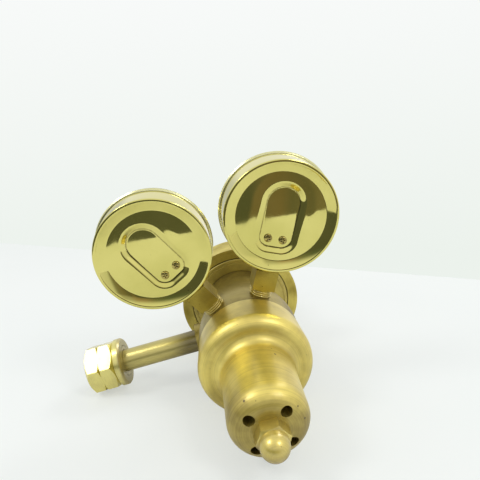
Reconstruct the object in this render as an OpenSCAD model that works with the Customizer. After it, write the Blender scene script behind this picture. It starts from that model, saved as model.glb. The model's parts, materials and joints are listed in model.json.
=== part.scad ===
// Two-stage gas cylinder pressure regulator with two Bourdon-tube gauges, lying at rest.
// The regulator is drawn along its main axis Y (rear acorn nut at -Y, adjusting screw at +Y),
// with the inlet along -X and the gauges above, and then laid on a flat surface, as_laid().

/* [Body] */
// Radius of the drum that carries the gauge ports
drum_r = 32.7; // [31.5:0.1:35]
// Distance from the inlet axis back to the rear bonnet joint
drum_back = 24.8; // [24:0.2:27]
// Distance from the inlet axis back to where the drum starts to narrow
drum_edge = 14; // [12:0.5:15]
// Radius of the waist ahead of the drum
waist_r = 26.3; // [26:0.1:28]
// Distance from the inlet axis forward to the front flange
flange_ahead = 35.7; // [35:0.1:38]
// Radius of the front flange where it shows inside the clamp ring
flange_r = 35.5; // [34.5:0.1:36]
// Thickness of that flange
flange_t = 4.3; // [4:0.1:5]
// Radius of the lip that the clamp ring holds
lip_r = 38.4; // [38:0.1:39]
// Thickness of the lip
lip_t = 5; // [4.5:0.1:6]
// Length of the rear thread inside the bonnet
neck_len = 13.2; // [12.5:0.1:15]
// Step in radius from the drum to the rear thread
neck_step = 2.3; // [2:0.1:2.8]
// Depth of the gas chamber behind each diaphragm
chamber_depth = 3; // [2.5:0.1:4]
// Radius of the boss that takes the inlet tube
boss_r = 11; // [10:0.1:12.5]
// Distance from the main axis to the face of the inlet boss
boss_reach = 34; // [33.5:0.1:37]

/* [Valves] */
// Radius of the two valve chambers
valve_chamber_r = 7; // [6.5:0.1:7.5]
// Depth of the first-stage valve chamber ahead of the inlet axis
first_chamber_ahead = 6; // [5:0.5:8]
// Distance from the inlet axis forward to the second-stage valve chamber
second_chamber_start = 12; // [11:0.5:13]
// Length of the second-stage valve chamber
second_chamber_len = 16; // [15:0.5:16.5]
// Radius of the nozzle inserts
nozzle_r = 8; // [7.8:0.1:8.8]
// Length of the first-stage nozzle insert
first_nozzle_len = 9; // [8:0.2:9.4]
// Radius of the hole through each nozzle
orifice_r = 1.7; // [1.5:0.1:2]
// Radius of the pin that opens each valve
pin_r = 0.9; // [0.7:0.1:1.1]
// Radius of the gas passages in the body
passage_r = 1.5; // [1.2:0.1:1.8]

/* [Rear bonnet] */
// Largest radius of the bell
bell_r = 34.3; // [34:0.1:36.5]
// Distance from the joint back to the widest part of the bell
bell_len = 20.2; // [18:0.2:22]
// Rounding of the bell's shoulder
bell_round = 7; // [6.5:0.1:7.5]
// Radius of the rear barrel
barrel_r = 21.3; // [20.8:0.1:21.5]
// Length from the widest part of the bell to the barrel's rounded end
barrel_len = 45.9; // [44:0.5:48]
// Rounding of the barrel's end
barrel_round = 9.9; // [9:0.1:10.2]
// Wall thickness of the barrel
barrel_wall = 4.3; // [4:0.1:4.5]
// Thickness of the barrel's end wall
end_wall = 10.9; // [10:0.1:12]
// Diameter of the four vent holes
vent_d = 6; // [5:0.1:6.4]
// Radius of the circle of vent holes
vent_circle_r = 13.1; // [12.9:0.1:13.4]
// Turn of the vent holes from the diagonals
vent_turn = 2.2; // [0:0.1:10]
// Radius of the preset screw
preset_r = 5; // [4.5:0.1:5.2]
// Width across the flats of the acorn nut
cap_af = 15.7; // [15:0.1:17]
// Height of the acorn nut's hexagon
cap_hex_h = 7.1; // [6.5:0.1:8]
// Radius of the acorn nut's dome
cap_dome_r = 7.4; // [7.2:0.1:7.5]
// Distance from the bonnet to the centre of the dome
cap_dome_out = 9.5; // [9:0.1:11]

/* [Front bonnet] */
// Outer radius of the clamp ring
ring_r = 43.1; // [42.5:0.1:45]
// Length of the clamp ring
ring_len = 19.7; // [18.5:0.1:22]
// Radius of the front barrel
front_barrel_r = 22; // [21.5:0.1:23]
// Distance from the inlet axis to the end of the front barrel
front_barrel_end = 108; // [106:0.5:110]
// Radius of the adjusting screw
screw_r = 6.35; // [6:0.05:7]
// Distance from the inlet axis to the T-bar
tee_ahead = 130; // [127:0.5:134]
// Length of the T-bar
tee_len = 60; // [50:1:64]
// Radius of the T-bar
tee_r = 3.5; // [3:0.1:4]

/* [Diaphragms and range springs] */
// Thickness of each diaphragm
diaphragm_t = 0.6; // [0.4:0.1:0.8]
// Thickness of each slip ring
slip_t = 1; // [0.8:0.1:1.2]
// Thickness of each diaphragm plate
plate_t = 2.5; // [2:0.1:3]
// Mean radius of the range springs
range_spring_r = 13; // [12.8:0.1:13.1]
// Wire diameter of the range springs
range_wire = 3.6; // [3:0.1:3.8]
// Turns of each range spring
range_turns = 6.5; // [5:0.5:7]
// Thickness of each spring button
button_t = 5; // [4.5:0.1:6]

/* [Inlet] */
// Outer radius of the inlet tube
tube_r = 7.25; // [7:0.05:7.6]
// Radius of the inlet tube's bore
tube_bore_r = 2.9; // [2.5:0.1:3.3]
// Distance from the main axis to the mouth of the inlet nut
nut_reach = 108.6; // [106:0.2:112]
// Width across the flats of the inlet nut
nut_af = 28.575; // [27.5:0.1:30]
// Length of the nut's hexagon
nut_hex_len = 18.4; // [17.5:0.1:20]
// Length of the nut's round collar
nut_collar_len = 5.5; // [5:0.1:7]
// Radius of the nut's collar
nut_collar_r = 15.6; // [14.5:0.1:15.8]
// Turn of the nut about the tube
nut_turn = 6.8; // [0:0.1:20]
// Wall radius of the nut's left-hand thread
nut_thread_r = 9.6; // [9.5:0.05:10.2]
// Length of that thread from the mouth
nut_thread_len = 8.4; // [7.5:0.1:8.6]
// Depth of the nut's cavity, whose inner part is relieved behind the thread
nut_depth = 15.4; // [15:0.1:16]
// Radius of the nipple's head, inside the nut
nipple_head_r = 9.2; // [8.9:0.05:9.2]

/* [Outlet] */
// Direction of the outlet, from straight up towards the right
outlet_angle = 145; // [140:1:150]
// Distance from the inlet axis forward to the outlet
outlet_ahead = 18; // [17:0.5:19]
// Distance from the main axis to the end of the outlet
outlet_reach = 46; // [44:0.5:47]
// Radius of the outlet's male thread
outlet_thread_r = 7.1; // [6.8:0.05:7.3]

/* [Gauges] */
// Direction of the left gauge from straight up
left_angle = -28; // [-32:0.5:-27]
// Direction of the right gauge from straight up
right_angle = 26; // [26:0.5:30]
// Length of port thread that shows between the body and the shank
thread_show = 4.8; // [3:0.1:8]
// Distance from the inlet axis back to the gauge ports
port_back = 15; // [14.6:0.1:15.6]
// Radius of the case's back rim
rim_r = 33.3; // [33.1:0.1:33.6]
// Radius of the flat disc in the back of the case
disc_r = 26.9; // [26:0.1:28]
// Depth of that disc below the rim
disc_depth = 2; // [1.6:0.1:2.3]
// Depth of the screw recess below the disc
pan_depth = 1.6; // [1.2:0.1:1.8]
// Half width of the screw recess
pan_half = 12.6; // [12:0.1:13]
// Top of the screw recess above the centre
pan_top = 20.5; // [19:0.1:20.8]
// Bottom of the screw recess below the centre
pan_low = 22; // [21:0.1:22.4]
// Length of the case's side wall
case_len = 16.5; // [16.3:0.1:17]
// How much wider the side wall is where it meets the bezel
case_flare = 1.3; // [1:0.1:1.7]
// Thickness of the case's sheet
sheet = 0.9; // [0.7:0.1:1]
// Height of the bezel's knurled band over the side wall
bezel_step = 1.1; // [0.9:0.1:1.4]
// Length of the knurled band
knurl_len = 3.8; // [3.4:0.1:4.1]
// Thickness of the lens
lens_t = 2; // [1.5:0.1:2.2]
// Distance from the rim plane forward to the stem's axis
stem_depth = 9.5; // [9.4:0.1:10]
// Width of the square shank
shank_w = 14; // [13:0.1:14.4]
// Length of the square shank
shank_len = 13; // [11:0.5:14]
// Radius of the port thread
port_thread_r = 6.6; // [6.2:0.05:6.8]
// Radius of the two screw heads in the recess
back_screw_head_r = 2.5; // [2.2:0.1:2.8]
// Distance of each of those screws from the middle
back_screw_x = 4.5; // [4:0.1:4.8]

/* [Movement] */
// Mean radius of the Bourdon tube
bourdon_r = 24; // [23.8:0.1:25]
// Width of the Bourdon tube's section
bourdon_w = 7; // [6:0.1:7]
// Thickness of the Bourdon tube's section
bourdon_t = 2.4; // [2:0.1:2.4]
// Tooth module of the movement's gears
gear_module = 0.3; // [0.28:0.01:0.31]
// Teeth on the pinion
pinion_teeth = 16; // [14:1:18]
// Teeth that a full circle of the sector would have
sector_teeth = 96; // [90:1:98]
// Sweep of the pointer over the dial
pointer_sweep = 270; // [240:5:270]
// Length of the pointer from its arbor
pointer_len = 25; // [20:0.5:28]
// Length of the sector's tail, from its pivot to the link
tail_len = 6; // [5.5:0.1:6.4]
// Radius of the arbors
arbor_r = 0.8; // [0.6:0.05:1]

/* [Fits] */
// Radial clearance of the arbors and the link's pins
running = 0.05; // [0.02:0.01:0.08]
// Gap between pieces that move past each other
gap = 0.3; // [0.25:0.05:0.4]
// Radial clearance of threads and sockets that stay put
seat = 0.05; // [0.02:0.01:0.1]

/* [Hidden] */
$fn = 96;
lap = 0.01;

// Colours
BRASS = [0.80, 0.67, 0.33];
SATIN_BRASS = [0.72, 0.60, 0.30];
OLIVE_BRASS = [0.58, 0.50, 0.30];
STEEL = [0.70, 0.71, 0.73];
RUBBER = [0.12, 0.12, 0.12];

// Small steps and walls
joint_step = 0.3;
front_pocket = 4;
hub_len = 4;
plate_room = 4;
room_taper = 16;
rear_taper = 11;
pad_low = -10;
seat_angle = 32;

// Places along the main axis, from the inlet axis
joint_y = -drum_back;
neck_y = joint_y - neck_len;
rear_floor_y = neck_y + chamber_depth;
first_nozzle_y = rear_floor_y + first_nozzle_len;
lip_y = flange_ahead + flange_t;
body_end_y = lip_y + lip_t;
front_floor_y = body_end_y - chamber_depth - front_pocket;
second_nozzle_y = second_chamber_start + second_chamber_len;
bell_y = joint_y - bell_len;
bell_major = bell_r - bell_round;
barrel_end_y = bell_y - barrel_len;
rear_face_y = barrel_end_y - barrel_round;
dome_y = rear_face_y - cap_dome_out;
ring_end_y = flange_ahead + ring_len;
step_round = bell_major - barrel_r;

// Radii that follow from the fits
neck_r = drum_r - neck_step;
joint_r = drum_r + joint_step;
rear_chamber_r = neck_r - 6.4;
front_chamber_r = lip_r - 8.4;
ring_lip_r = flange_r + 0.6;
ring_thread_r = lip_r + 0.6;
spring_room_r = barrel_r - barrel_wall;
front_flange_r = ring_thread_r - seat;

// Stack of each diaphragm: the diaphragm, its slip ring and its plate
rear_slip_y = neck_y - diaphragm_t - slip_t;
front_slip_y = body_end_y + diaphragm_t + slip_t;
rear_plate_y = neck_y - diaphragm_t - plate_t;
front_plate_y = body_end_y + diaphragm_t + plate_t;
front_end_wall = 6;
dimple = 2;
tip_step = 1.5;
rear_button_y = rear_face_y + end_wall + button_t + 3;
front_button_y = front_barrel_end - front_end_wall - button_t - 4;
hub_r = range_spring_r - range_wire / 2 - 1.8;

// Valves
seat_step = 2;
first_seat_y = first_nozzle_y + seat_step;
second_seat_y = second_nozzle_y - seat_step;
poppet_r = valve_chamber_r - gap;
poppet_tail_r = 2;
first_poppet_len = 14;
second_poppet_len = 5;
valve_spring_r = 3.5;
valve_wire = 0.9;

// Inlet
nut_front_x = nut_reach - nut_hex_len;
collar_back_x = nut_front_x - nut_collar_len;
nut_floor_x = nut_reach - nut_depth;
nut_corner_r = nut_af / 2 / cos(30);
nipple_back_x = nut_floor_x;
nipple_head_len = 4;
nipple_nose_len = 2.6;
tube_seat_x = 22;
washer_t = 2;
washer_r = tube_r + 2.8;
tube_hole_r = tube_r + gap;

// Gauges, in their own frame: Z runs out from the regulator, Y runs from the back to the dial
rim_round = 1.3;
rim_y = -port_back - stem_depth;
pan_y = disc_depth + pan_depth;
pan_inner_y = pan_y + sheet;
pan_corner = 9;
pan_slope = 3.2;
case_inner_r = rim_r - sheet;
case_mouth_r = rim_r + case_flare;
case_thread_r = case_mouth_r - 1;
bezel_r = case_mouth_r + bezel_step;
case_end_y = case_len + 4.5;
lens_y = case_end_y;
lens_r = case_thread_r - 0.2;
bezel_lip_y = lens_y + lens_t + 0.1;
bezel_end_y = bezel_lip_y + 1.5;
bezel_open_r = case_inner_r - 1.8;
shank_top = rim_r + 1.7;
shank_low = shank_top + shank_len;
gauge_reach = drum_r + thread_show + shank_low;
port_hole_bottom = 19.5;
branch_r = port_hole_bottom + passage_r + 0.6;
neck_stem_r = stem_depth - pan_inner_y;
back_screw_z = -14.2;
pad_y = pan_inner_y + 3.1;
block_low = 2.9 - case_inner_r;
block_top = block_low + 9;
block_left = -7;
block_right = 11;
block_front = pan_inner_y + 8.5;

// Movement levels from the back to the dial
plate_thick = 1;
gear_y = pad_y + plate_thick + 1.4;
gear_thick = 1.2;
link_y = gear_y + gear_thick + gap;
link_thick = 0.8;
front_plate_level = link_y + link_thick + 0.6;
dial_y = front_plate_level + 2;
dial_thick = 0.6;
pointer_y = dial_y + dial_thick + 0.9;
dial_r = case_inner_r - 0.6;
bourdon_y = pan_inner_y + 0.1 + bourdon_w / 2;

// Gear train
pressure_angle = 25;
backlash = 0.05;
gear_ratio = sector_teeth / pinion_teeth;
sector_travel = pointer_sweep / gear_ratio;
centre_distance = gear_module * (pinion_teeth + sector_teeth) / 2;
sector_bearing = 238;
sector_pivot = polar(centre_distance, sector_bearing);
sector_rest = sector_bearing - 180 + sector_travel / 2;
tail_rest = sector_rest + 166.4;
tail_pin = sector_pivot + polar(tail_len, tail_rest);
link_vector = [-8.85, 8.35];
tip_pin = tail_pin + link_vector;
pillar_right = [10, -6];
pillar_left = [-14, -10];

// How the regulator lies: on the clamp ring, the bell and one corner of the inlet nut
lie_reach = flange_ahead - bell_y;
lie_drop = ring_r - bell_major;
lie_pitch = acos(bell_round / norm([lie_reach, lie_drop])) - atan2(lie_reach, lie_drop);
nut_chamfer = (nut_corner_r - nut_af / 2) * tan(30) + 0.8;
nut_touch_x = nut_reach - nut_chamfer;
notch_half = 1.3;
nut_touch_y = nut_corner_r * sin(nut_turn);
nut_touch_z = nut_corner_r * cos(nut_turn);
lie_height = ring_r - (flange_ahead - nut_touch_y) * tan(lie_pitch);
lie_roll = asin(lie_height / norm([nut_touch_x, nut_touch_z])) - atan2(nut_touch_z, nut_touch_x);
ground = ring_r * cos(lie_pitch) - flange_ahead * sin(lie_pitch);

// Outermost points of the laid regulator, which put its origin in the middle of its footprint
right_dir = [cos(lie_roll), 0, -sin(lie_roll)];
front_dir = [-sin(lie_roll) * sin(lie_pitch), cos(lie_pitch), -cos(lie_roll) * sin(lie_pitch)];
right_gauge = gauge_reach * [sin(right_angle), 0, cos(right_angle)];
max_x = right_gauge * right_dir + bezel_r;
min_x = -nut_reach * cos(lie_roll) - nut_af / 2 * sin(lie_roll);
screw_end_y = tee_ahead + 7;
max_y = screw_end_y * cos(lie_pitch) + screw_r * sin(lie_pitch);
min_y = dome_y * cos(lie_pitch) - cap_dome_r;

function polar(r, a) = [r * cos(a), r * sin(a)];
function involute(a) = tan(a) * 180 / PI - a;
function base_r(n) = gear_module * n / 2 * cos(pressure_angle);
function slack(n) = backlash / (gear_module * n) * 180 / PI;
function roll(n, r) = involute(acos(min(1, base_r(n) / r)));
function half_tooth(n, r) = 90 / n + involute(pressure_angle) - roll(n, r) - slack(n);
function root_r(n) = gear_module * (n / 2 - 1.15);
function tip_r(n) = gear_module * (n / 2 + 0.85);
function flank_r(n, i) = root_r(n) + (tip_r(n) - root_r(n)) * i / 4;
function tooth(n, a) = concat(
    [for (i = [0:4]) polar(flank_r(n, i), a - half_tooth(n, flank_r(n, i)))],
    [for (i = [4:-1:0]) polar(flank_r(n, i), a + half_tooth(n, flank_r(n, i)))]
);

// Lays the regulator on the surface
module as_laid() {
    translate([-(max_x + min_x) / 2, -(max_y + min_y) / 2, ground])
    rotate([lie_pitch, 0, 0])
    rotate([0, -lie_roll, 0])
    children();
}

// Puts a port's own frame in place: its Z runs outwards
module at_port(angle, y) {
    translate([0, y, 0])
    rotate([0, angle, 0])
    children();
}

module at_gauge(angle) {
    at_port(angle, rim_y)
    translate([0, 0, gauge_reach])
    children();
}

// Turns an outline, radius by place along Y, about the Y axis
module turned() {
    rotate([-90, 0, 0])
    rotate_extrude()
    children();
}

// Extrudes an outline that is drawn in X and Z, from y forwards
module sheet_at(y, thick) {
    translate([0, y, 0])
    rotate([-90, 0, 0])
    mirror([0, 1, 0])
    linear_extrude(thick)
    children();
}

// Rectangle in a turned outline, between two radii and two places
module band(r_in, r_out, y_from, y_to) {
    translate([r_in, y_from])
    square([r_out - r_in, y_to - y_from]);
}

// Bar with round ends between two points
module bar(p, q, r) {
    length = norm(q - p);
    half_width = r - 0.03;
    translate(p)
    circle(r, $fn = 32);
    translate(q)
    circle(r, $fn = 32);
    translate(p)
    rotate(atan2(q[1] - p[1], q[0] - p[0]))
    translate([0, -half_width])
    square([length, 2 * half_width]);
}

module ring_y(r_in, r_out, y_from, y_to) {
    turned()
    band(r_in, r_out, y_from, y_to);
}

// Shaft or hole along Y through a point given in X and Z
module shaft_y(p, r, y_from, y_to) {
    translate([p[0], y_from, p[1]])
    rotate([-90, 0, 0])
    cylinder(r = r, h = y_to - y_from, $fn = 48);
}

// Round wire coil about Z, from z = 0 to its height
module coil(mean_r, wire, turns, height) {
    sides = 6;
    rings = floor(turns * 16);
    rise = height - wire;
    lean = atan2(rise / turns, 2 * PI * mean_r);
    points = [
        for (i = [0:rings], j = [0:sides - 1])
        let (a = 360 * turns * i / rings)
        let (u = wire / 2 * cos(360 * j / sides))
        let (v = wire / 2 * sin(360 * j / sides))
        [
            (mean_r + u) * cos(a) + v * sin(lean) * sin(a),
            (mean_r + u) * sin(a) - v * sin(lean) * cos(a),
            wire / 2 + rise * i / rings + v * cos(lean)
        ]
    ];
    skin = [
        for (i = [0:rings - 1], j = [0:sides - 1], k = [0, 1])
        let (p = i * sides + j)
        let (q = i * sides + (j + 1) % sides)
        k == 0 ? [p, q, q + sides] : [p, q + sides, p + sides]
    ];
    last = rings * sides;
    near_end = [for (j = [1:sides - 2]) [0, j + 1, j]];
    far_end = [for (j = [1:sides - 2]) [last, last + j, last + j + 1]];
    echo(str("least gap between turns: ", rise / turns * cos(lean) - wire));
    polyhedron(points = points, faces = concat(skin, near_end, far_end), convexity = 10);
}

// Flared waist from the drum down to the neck ahead of it
module waist() {
    steps = 16;
    length = flange_ahead + drum_edge - 9.7;
    polygon(concat(
        [[0, -drum_edge]],
        [for (i = [0:steps]) [
            waist_r + (drum_r - waist_r) * (1 + cos(180 * i / steps)) / 2,
            -drum_edge + length * i / steps
        ]],
        [[waist_r, flange_ahead], [0, flange_ahead]]
    ));
}

module regulator_body() {
    as_laid()
    color(OLIVE_BRASS)
    difference() {
        union() {
            turned() {
                band(0, neck_r, neck_y, joint_y);
                band(0, drum_r, joint_y, -drum_edge);
                waist();
                band(0, flange_r, flange_ahead, lip_y);
                band(0, lip_r, lip_y, body_end_y);
            }
            at_port(-90, 0)
            cylinder(r = boss_r, h = boss_reach);
            at_port(outlet_angle, outlet_ahead)
            cylinder(r = outlet_thread_r + 3, h = outlet_seat());
        }
        ring_y(0, rear_chamber_r, neck_y - 1, rear_floor_y);
        ring_y(0, nozzle_r, neck_y - 1, first_nozzle_y);
        ring_y(0, valve_chamber_r, neck_y, first_chamber_ahead);
        ring_y(0, front_chamber_r, front_floor_y, body_end_y + 1);
        ring_y(0, nozzle_r, second_nozzle_y, body_end_y);
        ring_y(0, valve_chamber_r, second_chamber_start, body_end_y);
        gauge_port(left_angle);
        gauge_port(right_angle);
        at_port(left_angle, -port_back)
        cylinder(r = passage_r, h = port_hole_bottom + 1);
        along_passage(right_angle, branch_r, -port_back, front_floor_y + 1);
        along_passage(180, interstage_r(), rear_floor_y - 1, second_chamber_start + 8);
        at_port(180, second_chamber_start + 8)
        cylinder(r = passage_r, h = interstage_r() + passage_r);
        at_port(-90, 0)
        cylinder(r = tube_bore_r, h = boss_reach);
        at_port(-90, 0)
        translate([0, 0, tube_seat_x])
        cylinder(r = tube_r + seat, h = boss_reach);
        at_port(outlet_angle, outlet_ahead)
        translate([0, 0, port_hole_bottom])
        cylinder(r = outlet_thread_r - 0.3 + seat, h = outlet_reach);
        along_passage(outlet_angle, branch_r, outlet_ahead, front_floor_y + 1);
    }
}

function interstage_r() = nozzle_r + 4;
function outlet_seat() = drum_r - 1.5;

module gauge_port(angle) {
    at_port(angle, -port_back)
    translate([0, 0, port_hole_bottom])
    cylinder(r = port_thread_r + seat, h = drum_r);
}

module along_passage(angle, r, y_from, y_to) {
    at_port(angle, y_from)
    translate([0, 0, r])
    rotate([-90, 0, 0])
    cylinder(r = passage_r, h = y_to - y_from);
}

// Outside of the bell and barrel, with its rounded shoulder, hollow step and rounded end
module rear_bonnet_outline() {
    polygon([[0, joint_y], [joint_r, joint_y], [bell_r, bell_y], [bell_major, bell_y - bell_round],
        [0, bell_y - bell_round]]);
    translate([bell_major, bell_y])
    circle(bell_round);
    difference() {
        band(0, bell_major, bell_y - bell_round - step_round, bell_y - bell_round + lap);
        translate([bell_major, bell_y - bell_round - step_round])
        circle(step_round);
    }
    band(0, barrel_r, barrel_end_y, bell_y);
    band(0, barrel_r - barrel_round, rear_face_y, barrel_end_y + lap);
    translate([barrel_r - barrel_round, barrel_end_y])
    intersection() {
        circle(barrel_round);
        translate([0, -barrel_round])
        square([barrel_round, barrel_round + lap]);
    }
}

module rear_bonnet() {
    taper_y = rear_slip_y - 5;
    as_laid()
    color(BRASS)
    difference() {
        turned()
        difference() {
            rear_bonnet_outline();
            band(-1, neck_r + seat, rear_slip_y, joint_y + 1);
            band(-1, rear_chamber_r + 2, taper_y, joint_y);
            polygon([[-1, taper_y + lap], [rear_chamber_r + 2, taper_y + lap],
                [spring_room_r, taper_y - rear_taper], [-1, taper_y - rear_taper]]);
            band(-1, spring_room_r, rear_face_y + end_wall, taper_y);
            band(-1, preset_r + seat, rear_face_y - 1, joint_y);
        }
        for (i = [0:3])
        at_port(45 + 90 * i + vent_turn, rear_face_y - 1)
        translate([0, 0, vent_circle_r])
        rotate([-90, 0, 0])
        cylinder(d = vent_d, h = end_wall + 2, $fn = 48);
    }
}

module rear_cap_nut() {
    corner_r = cap_af / 2 / cos(30);
    as_laid()
    color(BRASS)
    difference() {
        union() {
            intersection() {
                translate([0, rear_face_y, 0])
                rotate([90, 0, 0])
                cylinder(r = corner_r, h = cap_hex_h, $fn = 6);
                turned()
                polygon([[0, rear_face_y], [corner_r, rear_face_y], [corner_r, rear_face_y - cap_hex_h + 1],
                    [cap_af / 2 - 0.4, rear_face_y - cap_hex_h], [0, rear_face_y - cap_hex_h]]);
            }
            turned()
            band(0, cap_dome_r, dome_y, rear_face_y - cap_hex_h + 1);
            translate([0, dome_y, 0])
            sphere(r = cap_dome_r);
        }
        ring_y(0, preset_r + seat, preset_end_y() - 1, rear_face_y + 1);
    }
}

function preset_end_y() = dome_y + 1;

module rear_preset_screw() {
    as_laid()
    color(STEEL)
    turned() {
        band(0, preset_r, preset_end_y(), rear_button_y - button_t);
        band(0, preset_r - tip_step, rear_button_y - button_t - lap, rear_button_y - button_t + dimple);
    }
}

// Spring button: a plate with a hub inside the spring and a dimple for the screw's tip
module spring_button(tip_r) {
    turned()
    difference() {
        union() {
            band(0, spring_room_r - 1, 0, button_t);
            band(0, hub_r, -3, lap);
        }
        band(-1, tip_r + seat, button_t - dimple, button_t + 1);
    }
}

module rear_spring_button() {
    as_laid()
    color(STEEL)
    translate([0, rear_button_y, 0])
    rotate([0, 0, 180])
    spring_button(preset_r - tip_step);
}

module rear_range_spring() {
    as_laid()
    color(STEEL)
    translate([0, rear_plate_y, 0])
    rotate([90, 0, 0])
    coil(range_spring_r, range_wire, range_turns, rear_plate_y - rear_button_y);
}

// Diaphragm plate: a disc with a hub that centres the range spring
module diaphragm_plate(r) {
    turned() {
        band(0, r, 0, plate_t);
        band(0, hub_r, plate_t - lap, plate_t + hub_len);
    }
}

module rear_diaphragm_plate() {
    as_laid()
    color(BRASS)
    translate([0, neck_y - diaphragm_t, 0])
    rotate([0, 0, 180])
    diaphragm_plate(rear_chamber_r - plate_room);
}

module rear_diaphragm() {
    as_laid()
    color(RUBBER)
    ring_y(0, neck_r - 0.4, neck_y - diaphragm_t, neck_y);
}

module rear_slip_ring() {
    as_laid()
    color(STEEL)
    ring_y(rear_chamber_r + 0.6, neck_r - 0.4, rear_slip_y, neck_y - diaphragm_t);
}

// Nozzle insert: seat cone at z = 0, threaded body, and slotted face at the far end
module valve_nozzle(length) {
    difference() {
        union() {
            translate([0, 0, seat_step])
            cylinder(r = nozzle_r - seat, h = length);
            cylinder(r1 = 2.8, r2 = 5, h = seat_step + lap, $fn = 96);
        }
        translate([0, 0, -1])
        cylinder(r = orifice_r, h = length + seat_step + 2, $fn = 48);
        translate([-1, -nozzle_r, seat_step + length - 1.5])
        cube([2, 2 * nozzle_r, 2]);
    }
}

// Valve stem: six-sided poppet below z = 0 with a tail for its spring, and the opening pin above
module valve_stem(poppet_len, pin_len) {
    translate([0, 0, -poppet_len])
    cylinder(r = poppet_r, h = poppet_len, $fn = 6);
    translate([0, 0, -poppet_len - 3])
    cylinder(r = poppet_tail_r, h = 3 + lap, $fn = 48);
    translate([0, 0, -lap])
    cylinder(r = pin_r, h = pin_len + lap, $fn = 48);
}

module first_stage_nozzle() {
    as_laid()
    color(BRASS)
    translate([0, first_seat_y, 0])
    rotate([90, 0, 0])
    valve_nozzle(first_nozzle_len);
}

module first_stage_stem() {
    as_laid()
    color(STEEL)
    translate([0, first_seat_y, 0])
    rotate([90, 0, 0])
    valve_stem(first_poppet_len, first_seat_y - neck_y);
}

module first_stage_valve_spring() {
    as_laid()
    color(STEEL)
    translate([0, first_seat_y + first_poppet_len, 0])
    rotate([-90, 0, 0])
    coil(valve_spring_r, valve_wire, 6, first_chamber_ahead - first_seat_y - first_poppet_len);
}

module second_stage_nozzle() {
    as_laid()
    color(BRASS)
    translate([0, second_seat_y, 0])
    rotate([-90, 0, 0])
    valve_nozzle(front_floor_y - second_nozzle_y);
}

module second_stage_stem() {
    as_laid()
    color(STEEL)
    translate([0, second_seat_y, 0])
    rotate([-90, 0, 0])
    valve_stem(second_poppet_len, body_end_y - second_seat_y);
}

module second_stage_valve_spring() {
    as_laid()
    color(STEEL)
    translate([0, second_chamber_start, 0])
    rotate([-90, 0, 0])
    coil(valve_spring_r, valve_wire, 4, second_seat_y - second_poppet_len - second_chamber_start);
}

module inlet_nipple() {
    as_laid()
    color(SATIN_BRASS)
    at_port(-90, 0)
    difference() {
        union() {
            translate([0, 0, tube_seat_x])
            cylinder(r = tube_r, h = nipple_back_x - tube_seat_x + 1);
            translate([0, 0, nipple_back_x])
            cylinder(r = nipple_head_r, h = nipple_head_len);
            translate([0, 0, nipple_back_x + nipple_head_len])
            cylinder(r1 = nipple_head_r, r2 = 5.5, h = nipple_nose_len, $fn = 96);
        }
        cylinder(r = tube_bore_r, h = nut_reach);
        translate([0, 0, nipple_back_x + 1])
        cylinder(r = tube_bore_r + 0.6, h = nut_reach);
    }
}

module inlet_filter() {
    as_laid()
    color(OLIVE_BRASS)
    at_port(-90, 0)
    translate([0, 0, nipple_back_x + 1])
    cylinder(r = tube_bore_r + 0.6 - seat, h = 5.5);
}

module nut_washer() {
    as_laid()
    color(SATIN_BRASS)
    at_port(-90, 0)
    translate([0, 0, collar_back_x])
    difference() {
        cylinder(r = washer_r, h = washer_t);
        translate([0, 0, -1])
        cylinder(r = tube_hole_r, h = washer_t + 2);
    }
}

// Inlet nut: hexagon with chamfered and notched corners, and a collar with the washer's recess
module inlet_nut() {
    edge_r = nut_af / 2;
    face_r = edge_r - 0.4;
    outer_r = nut_corner_r + 0.6;
    slant = nut_chamfer * (outer_r - face_r) / (nut_corner_r - face_r);
    mid_x = nut_reach - nut_hex_len / 2;
    as_laid()
    color(BRASS)
    at_port(-90, 0)
    difference() {
        union() {
            intersection() {
                translate([0, 0, nut_front_x])
                rotate(180 - nut_turn)
                cylinder(r = nut_corner_r, h = nut_hex_len, $fn = 6);
                rotate_extrude()
                difference() {
                    polygon([[0, nut_front_x], [face_r, nut_front_x], [outer_r, nut_front_x + slant],
                        [outer_r, nut_reach - slant], [face_r, nut_reach], [0, nut_reach]]);
                    polygon([[outer_r + 0.1, mid_x - notch_half], [edge_r + 0.3, mid_x],
                        [outer_r + 0.1, mid_x + notch_half]]);
                }
            }
            rotate_extrude() {
                polygon([[0, collar_back_x], [nut_collar_r - 1, collar_back_x], [nut_collar_r, collar_back_x + 1],
                    [nut_collar_r, nut_front_x - 1], [edge_r - 0.5, nut_front_x + lap], [0, nut_front_x + lap]]);
            }
        }
        translate([0, 0, nut_floor_x])
        cylinder(r = nut_thread_r, h = nut_depth + 1);
        translate([0, 0, nut_floor_x])
        cylinder(r = nut_thread_r + 0.6, h = nut_depth - nut_thread_len);
        cylinder(r = tube_hole_r, h = nut_reach);
        translate([0, 0, collar_back_x - 1])
        cylinder(r = washer_r + gap, h = washer_t + gap + 1);
    }
}

module front_clamp_ring() {
    edge = 1;
    as_laid()
    color(OLIVE_BRASS)
    turned()
    difference() {
        polygon([[ring_lip_r, flange_ahead], [ring_r, flange_ahead], [ring_r, ring_end_y - edge],
            [ring_r - edge, ring_end_y], [ring_lip_r, ring_end_y]]);
        band(0, ring_thread_r, lip_y, ring_end_y + 1);
    }
}

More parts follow.
